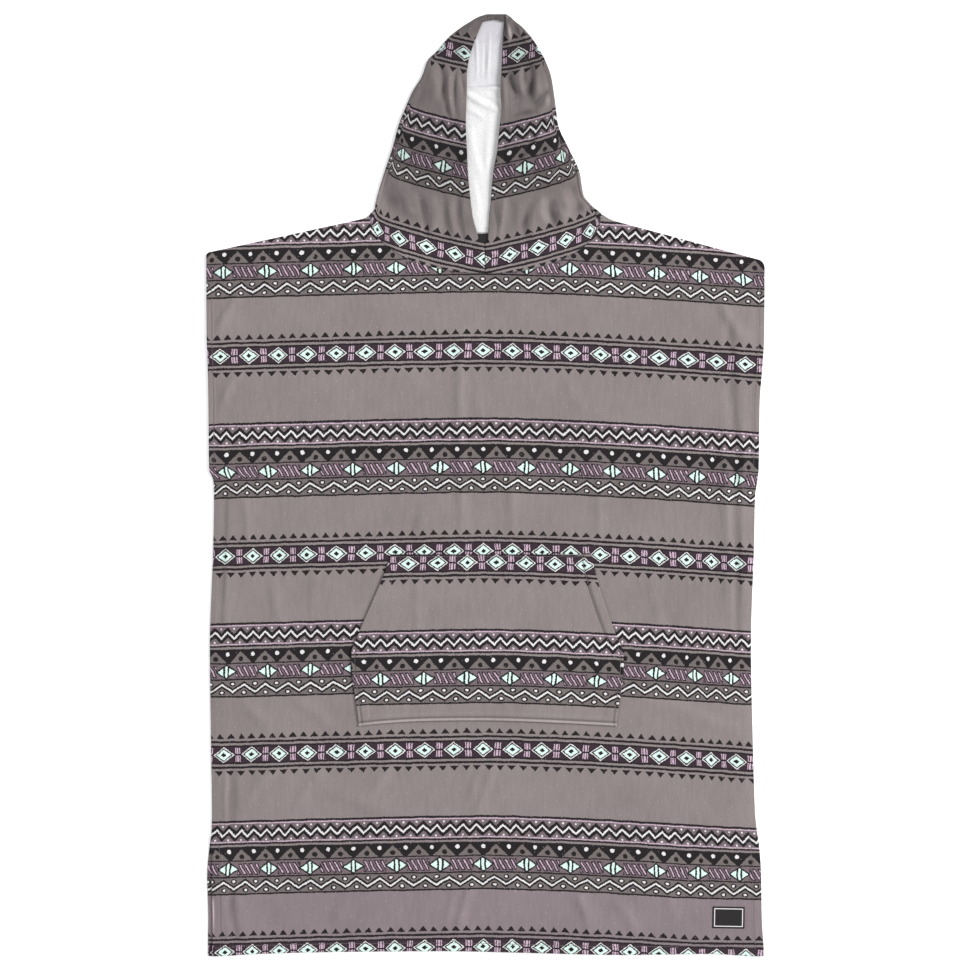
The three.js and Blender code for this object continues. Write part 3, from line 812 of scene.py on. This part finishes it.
def frontUnderside(x, y):
    edge = np.minimum(np.minimum(fromSide(x, y, frontEdge), y - hemEdge(x)), shoulderSeam(x) - y)
    share = ease(edge, 0, body["liftRamp"])
    folds = (body["foldGain"] * foldHeight(bodyFolds, x, y) + slackWaves(x, y)) * (1 - underPatch(x, y))
    onBack = np.maximum(0, foldHeight(backFolds, x, y))
    return cloth["wall"] + cloth["seamGap"] + share * keepAbove(body["lift"] + folds, onBack)


def frontWall(x, y):
    side = fromSide(x, y, frontEdge)
    up = y - hemEdge(x)
    hemmed = np.maximum(hemRise(side, sideHem(y)) * openSide(y), hemRise(up, body["hemWidth"]))
    rolled = body["seamRollDrop"] * (1 - ease(side, 0, body["seamRollWidth"])) * (1 - openSide(y))
    stitched = stitchGroove(side, sideHem(y) - 1) * openSide(y) + stitchGroove(up, body["hemWidth"] - 1)
    return cloth["wall"] + hemmed - rolled + stitched


def frontTop(x, y):
    return frontUnderside(x, y) + frontWall(x, y)


def buildFrontPanel():
    tall = panelTall()
    side = spread((0, 0.5), (1.5, 0.85), (15, 1.5), (24, 4), (60, 5.2), body["halfWidth"])
    levels = spread((0, 0.5), (1.5, 0.8), (5, 1.5), (9, 0.9), (15, 1.5), (24, 4),
                    (60, 5.4), (tall - 12, 3), (tall - 3, 0.6), tall)
    x, y, _, thin, cut = panelGrid(side, levels, frontEdge, body["frontDrop"])
    wall = frontWall(x, y)
    middle = frontUnderside(x, y) + wall / 2
    outer, inner = bothFaces(x, y, middle, wall / 2 * thin)
    folds = foldHeight(bodyFolds, x, y) * (1 - underPatch(x, y))
    # painted shade in the folds' troughs and painted highlight on their ridges
    nap = np.clip(1 + 0.02 * np.maximum(folds, 0) + 0.1 * np.minimum(folds, 0), 0.6, 1.2)
    # at the left vent, painted shade lies along the hem, and a painted highlight along its edge
    fromVent = np.where(x < 0, fromSide(x, y, frontEdge), 1000)
    nap -= 0.16 * hump(fromVent, 7) * (1 - ease(y, -510, -490)) * ease(y, -610, -590)
    nap += 1.6 * hump(fromVent - 0.9, 1.5) * (1 - ease(y, -600, -588)) * ease(y, -656, -606)
    panel = addCloth("front_panel_cloth", wallMesh("frontPanel", outer, inner, cut, nap))
    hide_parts("front_panel")
    return panel


frontPanel = buildFrontPanel()
print("front panel:", len(frontPanel.data.polygons), "faces")


# Back panel

def buildBackPanel():
    tall = panelTall()
    side = spread((0, 0.7), (2.1, 2.2), (13, 6.5), body["halfWidth"])
    levels = spread((0, 0.7), (2.1, 3), (12, 9), (tall - 12, 3), (tall - 2.1, 0.7), tall)
    x, y, up, thin, cut = panelGrid(side, levels, sideEdge, body["backDrop"])
    half = cloth["wall"] / 2
    raised = foldHeight(backFolds, x, y)
    face = np.stack([x, y, raised + half * (1 - thin)], -1)
    reverse = np.stack([x, y, raised + half * (1 + thin)], -1)
    turned = (fromSide(x, y, sideEdge) < sideHem(y)) & (openSide(y) > 0.5) | (up < body["hemWidth"])
    # the printed face is underneath, so the grid is mirrored to keep it facing out
    mesh = wallMesh("backPanel", face[:, ::-1], reverse[:, ::-1], cut[:, ::-1], turned=turned[:, ::-1])
    panel = addCloth("back_panel_cloth", mesh)
    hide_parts("back_panel")
    return panel


backPanel = buildBackPanel()
print("back panel:", len(backPanel.data.polygons), "faces")


# Hood

hood = {
    "plainLoft": 2.3,
    "loft": 5.2,
    "crown": 0.5,
    "roll": 5.5,
    "crownSeamX": 13,
    "neckSeamX": -1,
    "closedY": 345.5,
    "openY": 349,
    "openLeft": -10,
    "openRight": 3.5,
    "topY": 665,
    "crownY": 668,
    "rimHem": 13,
    "foldGain": 2,
    "gather": (0.35, 3.4),  # the crown's hem is gathered: height and length of its waves
    "printStart": 323,
    "printAside": 3,  # the halves' bands don't quite match
    "printLean": 0.2,  # its halves are tilted, so the bands rise from the face outwards
    "darker": {"left": (0.32, -0.02), "right": (0.26, 0.18)},  # painted shade on its face, above the neck and higher up
    "crownDark": 0.28,
    "contrast": {"left": 1.05, "right": 1.75},  # of the painted shade and highlights on its folds
    "creaseY": 571.5,  # where a crease runs across the white inside, with a line of painted shade along it
    # right of the opening's top, a turned edge catches the light beside a dark crease
    "turnedEdge": {"x": 30.8, "lean": 0.14, "pale": (0.85, 1.3), "dark": (0.2, 1.8), "creaseIn": 3.6},
}
hoodRows = table(("y", "left", "leftRim", "rightRim", "right", "lofted"), [
    (380, -165, -18, 5, 165, 0),
    (386, -161, -18.5, 5.3, 165, 0),
    (402, -158, -20.5, 7, 151, 0.2),
    (415, -155, -22, 8, 141, 0.4),
    (448, -145, -25, 11, 135, 0.75),
    (481, -134, -26.5, 17, 120, 0.9),
    (517, -124, -28, 20.5, 104, 1),
    (540, -115, -27.5, 23, 101, 1),
    (563, -105, -26.5, 21.5, 98, 1),
    (586, -91, -26.5, 22.3, 94, 0.95),
    (608, -83, -24, 23.4, 86, 0.85),
    (623, -68, -20, 24, 78, 0.72),
    (640, -54, -14, 24.5, 67, 0.5),
    (657, -33, -7, 26, 52, 0.28),
    (665, -20, -4, 27, 42, 0.14),
    (670, -12, -4, 27, 37, 0.06),
    (675, 0, -4, 27, 31, 0),
])
hoodFolds = [
    # above the broad band, left and right
    (-66, 606, -58, 546, 5.5, -2.6),
    (-59, 556, -48, 520, 4, -1.6),
    (-45, 598, -43, 524, 3.6, -2),
    (-52, 590, -50, 530, 3.5, 1.5),
    (-34, 594, -32, 552, 3.5, -1.2),
    (-77, 600, -72, 548, 8, 1.4),
    (-92, 575, -97, 540, 9, -0.9),
    (61, 606, 71, 543, 7, -4),
    (53, 602, 60, 556, 4, -1.8),
    (34, 592, 45, 558, 5, -2.2),
    (40, 604, 46, 530, 13, -1.4),
    (72, 536, 106, 562, 5, 2.8),
    (68, 545, 99, 570, 4, -2.4),
    (38, 524, 72, 541, 6, -1.7),
    (48, 458, 88, 532, 4, -1.8),
    (50, 600, 52, 556, 6, 1.5),
    (88, 592, 92, 556, 6, 1.2),
    (27, 600, 27, 520, 3, 1.2),
    # across the broad band
    (-100, 515, -108, 458, 9, -0.9),
    (-60, 505, -70, 440, 8, 1),
    (-38, 500, -40, 452, 5, -1),
    (96, 505, 108, 450, 9, 1),
    (30, 500, 26, 440, 6, -0.9),
    # below it, down to the neckline
    (-134, 434, -128, 383, 14, -2.4),
    (-96, 422, -84, 352, 5, -2.8),
    (-78, 420, -68, 350, 8, 1.8),
    (-64, 424, -51, 346, 4.5, -1.6),
    (-41, 420, -30, 344, 5, -2),
    (-52, 412, -44, 352, 5, 1.2),
    (-112, 410, -104, 378, 8, 1.4),
    (13, 410, 17, 350, 4, -1.8),
    (28, 425, 20, 345, 5, 1.7),
    (36, 408, 44, 366, 6, -1.1),
    (61, 404, 60, 350, 6.5, -2.6),
    (84, 418, 78, 372, 9, 1.8),
    (97, 412, 100, 366, 8, -3.6),
    (112, 425, 116, 380, 8, 1.2),
    (128, 436, 142, 390, 11, -3.4),
    # at the crown
    (33, 675, 34, 628, 3.4, 2.4),
    (27, 672, 27, 630, 2, -2),
    (44, 664, 62, 630, 4, 1.2),
    (-12, 664, -40, 630, 4, 1.2),
    (-30, 640, -50, 612, 5, -1),
]
# ridges of the white reverse that show through the face opening
liningFolds = [
    (-46, 565.5, 46, 571.5, 3.6, 2.2),
    (-46, 570.5, 46, 576.5, 2, -1.6),
    (-34, 563, 24, 534, 5, 2.4),
    (-30, 570, 26, 543, 4, -1.6),
    (-30, 545, 2, 520, 4, 1.4),
    (-13, 650, -12.5, 576, 2, 1.2),
    (-2, 640, -1.5, 580, 2, -1),
    (5, 652, 4.5, 576, 2.2, 1.3),
    (-18, 632, 6, 640, 3, -1),
    (-22, 520, -6, 430, 6, 1.4),
    (8, 535, -4, 430, 5, 1.2),
    (-16, 450, -9, 360, 4, 1),
]


def seamAt(y):
    return follow([{"y": body["neckY"], "x": hood["neckSeamX"]},
                   {"y": body["halfLength"], "x": hood["crownSeamX"]}], "x", y)


def rimX(y, side):
    sewn = seamAt(y) + side * cloth["seamGap"] / 2
    bottom = hood["openLeft"] if side < 0 else hood["openRight"]
    rim = follow(hoodRows, "leftRim" if side < 0 else "rightRim", y)
    low = bottom + (rim - bottom) * ease(y, hood["openY"], body["neckY"] + 4)
    start = sewn + (bottom - sewn) * ramp(y, hood["closedY"], hood["openY"])
    end = rim + (sewn - rim) * ramp(y, hood["topY"], hood["crownY"])
    return np.where(y < hood["openY"], start, np.where(y > hood["topY"], end, low))


def stepsAlong(points, axis):
    # from each point's neighbour before to its neighbour after
    at = np.arange(points.shape[axis])
    return points.take(np.minimum(at + 1, at[-1]), axis) - points.take(np.maximum(at - 1, 0), axis)


def buildHoodHalf(side):
    name = "left" if side < 0 else "right"
    frontShares = spread((0, 0.006), (0.03, 0.012), (0.16, 0.0175), 1.0)
    turns = np.radians(np.linspace(90, -90, 13)[1:-1])
    backShares = spread((0, 0.05), (0.6, 0.0125), (0.999, 0.001), 1.0)
    bottom = body["neckY"] - body["frontDrop"]
    tall = body["halfLength"] - bottom
    levels = spread((0, 0.6), (3, 2), (hood["closedY"] - bottom - 4, 1), (hood["openY"] - bottom + 3, 2.6),
                    (hood["topY"] - bottom - 4, 1), (hood["crownY"] - bottom + 2, 1.2), tall)
    rise = levels / tall
    gap = -cloth["seamGap"] / 2
    startX = hood["neckSeamX"] + side * cloth["seamGap"] / 2
    neckX = side * (body["neckHalf"] + gap)
    lofted = hood["loft"] - hood["plainLoft"]

    def frameAt(y, up):
        fold = follow(hoodRows, name, y) - side * cloth["wall"] / 2
        loft = hood["plainLoft"] + lofted * follow(hoodRows, "lofted", y)
        seam = seamAt(y)
        roll = np.minimum(np.minimum(hood["roll"], loft * 0.8), np.abs(fold - seam) * 0.3)
        # the bottom edge flares to meet the neckline all the way round
        settled = ease(up, 0, 0.04)
        fold = fold * settled + (neckX + side * (roll - cloth["seamGap"])) * (1 - settled)
        rim = rimX(y, side) * settled + startX * (1 - settled)
        return fold, loft, rim, roll, seam + side * 0.02

    # front: from the rim of the opening out to the side fold
    up, share = np.meshgrid(rise, frontShares, indexing="ij")
    foot = neckline(startX + (neckX - startX) * share, body["frontDrop"], gap)
    y = foot + (body["halfLength"] - foot) * up
    fold, loft, rim, roll, _ = frameAt(y, up)
    x = rim + (fold - side * roll - rim) * share
    bulge = hood["crown"] * (loft - hood["plainLoft"]) / lofted
    high = loft + bulge * np.sin(np.pi * share) ** 0.7
    onPanel = frontUnderside(x, np.minimum(y, shoulderSeam(np.float64(body["neckHalf"]))))
    folds = hood["foldGain"] * foldHeight(hoodFolds, x, y) * ease(1 - share, 0, 0.12)
    folds *= 0.7 + 0.3 * ease(share, 0, 0.15)
    z = onPanel + (high - onPanel) * ease(up, 0.17, 0.3) + folds * ease(up, 0, 0.05)
    ridges = np.maximum(0, foldHeight(liningFolds, x, y))
    z = np.where(up > 0.05, keepAbove(z, cloth["wall"] + cloth["seamGap"] + ridges), z) + cloth["wall"] / 2
    atCrown = ease(y, hood["topY"] - 2, hood["crownY"]) * (np.abs(x - 11) < 19)
    waveHigh, waveLong = hood["gather"]
    z += waveHigh * np.sin(2 * np.pi * x / waveLong) * atCrown
    front = np.stack([x, y, z], -1)
    rimDistance = np.abs(x - rim)

    # side fold
    up, turn = np.meshgrid(rise, turns, indexing="ij")
    y = body["neckY"] - gap + (body["halfLength"] - body["neckY"] + gap) * up
    fold, loft, _, roll, _ = frameAt(y, up)
    rounded = np.stack([fold - side * roll * (1 - np.cos(turn)), y,
                        cloth["wall"] / 2 + loft / 2 * (1 + np.sin(turn))], -1)

    # back: from the side fold in to the centre seam
    up, share = np.meshgrid(rise, backShares, indexing="ij")
    foot = neckline(neckX + (startX - neckX) * share, body["backDrop"], gap)
    y = foot + (body["halfLength"] - foot) * up
    fold, _, _, roll, seam = frameAt(y, up)
    x = fold - side * roll + (seam - fold + side * roll) * share
    back = np.stack([x, y, np.full(x.shape, cloth["wall"] / 2)], -1)

    middle = np.concatenate([front, rounded, back], 1)
    normal = np.cross(stepsAlong(middle, 1), stepsAlong(middle, 0)) * side
    normal[[0, -1], :, 1] = 0
    normal[:, [0, -1], :2] = 0
    normal /= np.linalg.norm(normal, axis=-1, keepdims=True)
    isFront = np.arange(middle.shape[1]) < front.shape[1]
    fromRim = np.full(middle.shape[:2], 1000.0)
    fromRim[:, isFront] = rimDistance
    fromFoot = middle[..., 1] - middle[:1, :, 1]
    thin = edgeRound(np.minimum(fromRim, np.minimum(fromFoot, (1 - rise[:, None]) * 300)))
    hemmed = hemRise(fromRim, hood["rimHem"]) + stitchGroove(fromRim, hood["rimHem"] - 1)
    ridges = np.where(isFront, 0, foldHeight(liningFolds, middle[..., 0], middle[..., 1]))
    half = cloth["wall"] / 2
    outer = middle + normal * ((half + hemmed) * thin)[..., None]
    inner = middle - normal * (half * thin + np.maximum(ridges, -1.2))[..., None]
    outer[..., 2] = np.maximum(0, outer[..., 2])

    step = np.linalg.norm(np.diff(middle, axis=1), axis=-1)
    fromMiddle = np.abs(middle[:, :1, 0] - seamAt(middle[:, :1, 1]))
    length = np.concatenate([np.zeros((len(middle), 1)), np.cumsum(step, 1)], 1) + fromMiddle
    lean = hood["printLean"] * length * (1 + length / 570)
    cut = np.stack([side * (length + hood["printAside"]), middle[..., 1] - lean - hood["printStart"]], -1)
    if side < 0:
        outer, inner, cut = outer[:, ::-1], inner[:, ::-1], cut[:, ::-1]
    height = middle[..., 1]
    darker, topTone = hood["darker"][name]
    uneven = 0.04 * np.sin(height / 23 + side) * np.sin(middle[..., 0] / 19)
    # painted shade darkens the face above the neck and higher up; the crown is darker too
    nap = 1 - darker * ease(fromFoot, 30, 75) + uneven
    nap *= (1 - topTone * ease(height, 505, 600)) * (1 - hood["crownDark"] * ease(height, 640, 656))
    # painted shade in its fold troughs and painted highlight on its ridges
    lit = (0.045 * np.maximum(folds, 0) + 0.11 * np.minimum(folds, 0)) * hood["contrast"][name]
    nap[:, isFront] *= np.clip(1 + lit, 0.45, 1.3)
    if side > 0:
        turned = hood["turnedEdge"]
        byTop = ease(height, 636, 646) * (1 - ease(height, 670, 675))
        fromEdge = middle[..., 0] - turned["x"] - turned["lean"] * (673 - height)
        (lit, litWide), (shaded, shadedWide) = turned["pale"], turned["dark"]
        shade = shaded * hump(fromEdge + turned["creaseIn"], shadedWide)
        nap += byTop * (lit * hump(fromEdge, litWide) - shade)
    # painted shade on the white reverse: greyer higher up in the hood, and a painted shadow line along the
    # crease
    paintedReverseShade = 1 - 0.3 * ease(height, 566, 580) - 0.3 * ease(height, 600, 668)
    paintedReverseShade -= 0.5 * hump(height - hood["creaseY"] - 0.065 * middle[..., 0], 1.8)
    if side < 0:
        nap, paintedReverseShade = nap[:, ::-1], paintedReverseShade[:, ::-1]
    mesh = wallMesh("hood" + name.title(), outer, inner, cut, nap, paintedReverseShade)
    piece = addCloth("hood_" + name + "_cloth", mesh)
    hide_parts("hood_" + name)
    return piece


hoodLeft = buildHoodHalf(-1)
hoodRight = buildHoodHalf(1)
print("hood:", len(hoodLeft.data.polygons) + len(hoodRight.data.polygons), "faces")


# Pocket

# how high whatever is sewn on the front panel lies
onPanel = 2 * (cloth["wall"] + cloth["seamGap"]) + body["lift"]

pocketFolds = [
    (-104, -108, -96, -262, 6, 1.6),
    (60, -110, 64, -215, 9, 0.8),
    (160, -130, 186, -215, 6, 1.6),
    (-150, -150, -178, -235, 8, 1.1),
    (20, -290, 24, -332, 8, 0.7),
]


def pocketBow(x, y):
    bow = pocket["bow"]
    drop, power = [np.where(x < 0, left, right) for left, right in zip(bow["left"], bow["right"])]
    dropped = drop * (np.abs(x) / bow["reach"]) ** power
    return (bow["middle"] - dropped) * (1 - ease(y, pocketRows[0]["y"], bow["endY"]))


def pocketPuff(side, y):
    below, above = pocket["mouthPuff"]
    slanted = ease(y, *below) * (1 - ease(y, *above))
    fromSeams = np.minimum(y - pocketRows[0]["y"], pocketRows[-1]["y"] - y)
    return pocket["puff"] * np.maximum(ease(side, 0, 40), slanted * 0.8) * ease(fromSeams, 0, 40)


def buildPocket():
    low, high = pocketRows[0]["y"], pocketRows[-1]["y"]
    levels = spread((low, 0.5), (low + 1.5, 0.9), (low + 15, 3), (high - 12, 1), (high - 1.5, 0.5), high)
    edge = spread((0, 0.5), (1.5, 0.9), (7, 1.4), (15, 1.2), (20, 4), 40)
    shares = np.linspace(0, 1, 70)[1:-1]
    left, right = pocketSides(levels[:, None])
    x = np.concatenate([left + edge, left + 40 + (right - left - 80) * shares, right - edge[::-1]], 1)
    y = np.repeat(levels[:, None], x.shape[1], 1)
    bowed = y + pocketBow(x, y)
    side = np.minimum(x - left, right - x)
    folds = foldHeight(pocketFolds, x, y)
    under = onPanel + pocketPuff(side, y) + folds * ease(side, 0, 20)
    hemmed = np.maximum(hemRise(side, pocket["sideHem"]), hemRise(y - low, pocket["bottomHem"]))
    hemmed = np.maximum(hemmed, hemRise(high - y, pocket["topHem"]))
    slanted = ease(y, *pocket["mouthEase"])
    stitched = (stitchGroove(side, pocket["stitchIn"], 0.9, 1.5) * (1 - slanted)
                + stitchGroove(y - low, pocket["stitchIn"], 0.9, 1.5)
                + stitchGroove(high - y, pocket["topStitchIn"])
                + stitchGroove(side, pocket["sideHem"], 1.3, 2.3) * slanted * np.where(x > 0, 1, 0.2))
    wall = pocket["wall"] + hemmed + stitched + 0.7 * (1 - ease(y - low, 3, 5))
    thin = edgeRound(np.minimum(side, np.minimum(y - low, high - y)))
    middle = under + wall / 2
    outer, inner = bothFaces(x, bowed, middle, wall / 2 * thin)
    upCloth = bowed + printDrop(x, y) - body["printStart"] + pocket["printShift"]
    cut = np.stack([x + pocket["printAside"], upCloth], -1)
    # painted shade in the stitch grooves and fold troughs
    nap = 1.02 + 0.14 * np.minimum(0, stitched) + 0.04 * np.minimum(0, folds)
    # a painted highlight along its foot, below a line of painted shade at its row of stitches
    nap += 0.52 * (1 - ease(y - low, 3, 4.4)) - 0.2 * hump(y - low - pocket["stitchIn"], 1.3)
    patch = addCloth("pocket_cloth", wallMesh("pocketPatch", outer, inner, cut, nap))
    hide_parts("pocket")
    return patch


pocketPatch = buildPocket()
print("pocket:", len(pocketPatch.data.polygons), "faces")


# Labels

def buildLabel(name, node, spec, x, y, z, material):
    # a woven tape with cut sides
    halfW, halfH = spec["width"] / 2, spec["height"] / 2
    u, v = np.meshgrid(np.linspace(-halfW, halfW, 60), np.linspace(-halfH, halfH, 42))
    edge = np.minimum(halfW - np.abs(u), halfH - np.abs(v))
    thin = edgeRound(edge, 0.7, 0.35)
    top = spec["wall"] * thin - 0.25 * spec["wall"] * hump(edge - 1.4, 0.5)  # pulled down by its sewing
    turn = math.radians(spec.get("turn", 0))
    px = x + u * math.cos(turn) - v * math.sin(turn)
    py = y + u * math.sin(turn) + v * math.cos(turn)
    outer = np.stack([px, py, z + top], -1)
    inner = np.stack([px, py, np.full(px.shape, z)], -1)
    mesh = wallMesh(name, outer, inner, np.stack([u, v], -1))
    label = addPiece(name, mesh, [material, material])
    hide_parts(node)
    return label


framed = makeDamask("damaskFramed", (wovenLabel["width"], wovenLabel["height"]), wovenLabel["frameIn"])
plain = makeDamask("damaskPlain", (sizeLabel["width"], sizeLabel["height"]))
hemLabel = buildLabel("woven_label_damask", "woven_label", wovenLabel, wovenLabel["x"], wovenLabel["y"],
                      onPanel, framed)
napeY = body["neckY"] - body["backDrop"] - 1 - sizeLabel["height"] / 2
napeLabel = buildLabel("size_label_damask", "size_label", sizeLabel, sizeLabel["x"], napeY,
                       cloth["wall"] + cloth["seamGap"], plain)
print("labels: one on the front, one at the nape")


# Stitching

stitching = {"pitch": 3.4, "length": 2.5, "radius": 0.38, "sides": 6, "over": 0.2, "sunk": 0.5}


def stitchMesh(name, paths):
    # every stitch is a short thread that dips at both ends
    sides = stitching["sides"]
    rings = [(-0.5, 0.35, -0.25), (-0.36, 1, 0), (0, 1.05, 0.1), (0.36, 1, 0), (0.5, 0.35, -0.25)]
    points, quads, places = [], [], []
    for path in paths:
        path = np.asarray(path, float)
        run = np.concatenate([[0], np.cumsum(np.linalg.norm(np.diff(path, axis=0), axis=1))])
        for at in np.arange(stitching["pitch"] / 2, run[-1], stitching["pitch"]):
            behind, here, ahead = [np.array([np.interp(s, run, path[:, k]) for k in range(3)])
                                   for s in (max(at - 1, 0), at, min(at + 1, run[-1]))]
            along = (ahead - behind) / np.linalg.norm(ahead - behind)
            aside = np.cross((0, 0, 1), along)
            upward = np.cross(along, aside)
            first = len(points)
            for offset, fat, lift in rings:
                centre = here + along * offset * stitching["length"] + upward * lift * stitching["radius"]
                for k in range(sides):
                    angle = 2 * math.pi * k / sides
                    points.append(centre + stitching["radius"] * fat
                                  * (aside * math.cos(angle) + upward * math.sin(angle)))
                    places.append((offset * stitching["length"], k / sides))
            for r in range(len(rings) - 1):
                for k in range(sides):
                    a, b = first + r * sides + k, first + r * sides + (k + 1) % sides
                    quads.append((a, b, b + sides, a + sides))
            quads.append(tuple(first + k for k in reversed(range(sides))))
            quads.append(tuple(first + (len(rings) - 1) * sides + k for k in range(sides)))
    mesh = bpy.data.meshes.new(name)
    mesh.from_pydata((np.array(points) * mm).tolist(), [], quads)
    loops = [places[v] for quad in quads for v in quad]
    mesh.uv_layers.new(name="cut").data.foreach_set("uv", np.array(loops).ravel())
    return mesh


def bodyPath(x, y):
    x, y = np.broadcast_arrays(np.asarray(x, float), np.asarray(y, float))
    return np.stack([x, y, frontTop(x, y) + stitching["over"]], -1)


def pocketPath(x, y):
    x, y = np.broadcast_arrays(np.asarray(x, float), np.asarray(y, float))
    left, right = pocketSides(y)
    side = np.minimum(x - left, right - x)
    top = onPanel + pocketPuff(side, y) + pocket["wall"] + cloth["hemRise"]
    top = top + foldHeight(pocketFolds, x, y) * ease(side, 0, 20)
    return np.stack([x, y + pocketBow(x, y), top - stitching["sunk"]], -1)


def buildStitches():
    inset = body["hemWidth"] - 1
    arms, vents = [], []
    for side in (-1, 1):
        y = np.linspace(body["armholeEnd"] + 4, body["rightTip"] - 12, 80)
        arms.append(bodyPath(sideEdge(y, side) - side * (sideHem(y) - 1), y))
        y = np.linspace(body["ventTop"], hemEdge(400.0) + inset, 50)
        vents.append(bodyPath(frontEdge(y, side) - side * inset, y))
    x = np.linspace(sideRows[0]["left"] - 2 + inset, sideRows[0]["right"] - inset, 160)
    hem = [bodyPath(x, hemEdge(x) + inset)]
    low, high = pocketRows[0]["y"], pocketRows[-1]["y"]
    mouth = np.linspace(pocket["mouthStitchFrom"], high - pocket["topStitchIn"], 40)
    sewn = np.linspace(low + pocket["stitchIn"], pocket["sewnUpTo"], 40)
    edges = []
    for side, name in ((1, "left"), (-1, "right")):
        edges.append(pocketPath(follow(pocketRows, name, mouth) + side * pocket["sideHem"], mouth))
        edges.append(pocketPath(follow(pocketRows, name, sewn) + side * pocket["stitchIn"], sewn))
    for y, inset in ((low + pocket["stitchIn"], pocket["stitchIn"]), (high - pocket["topStitchIn"], 1)):
        left, right = pocketSides(y)
        edges.append(pocketPath(np.linspace(left + inset, right - inset, 90), y))
    for name, paths in (("arm_hem_stitches", arms), ("vent_stitches", vents), ("hem_stitches", hem),
                        ("pocket_stitches", edges)):
        stitches = addPiece(name, stitchMesh(name, paths), [thread])
        print(name + ":", len(stitches.data.polygons), "faces")


buildStitches()
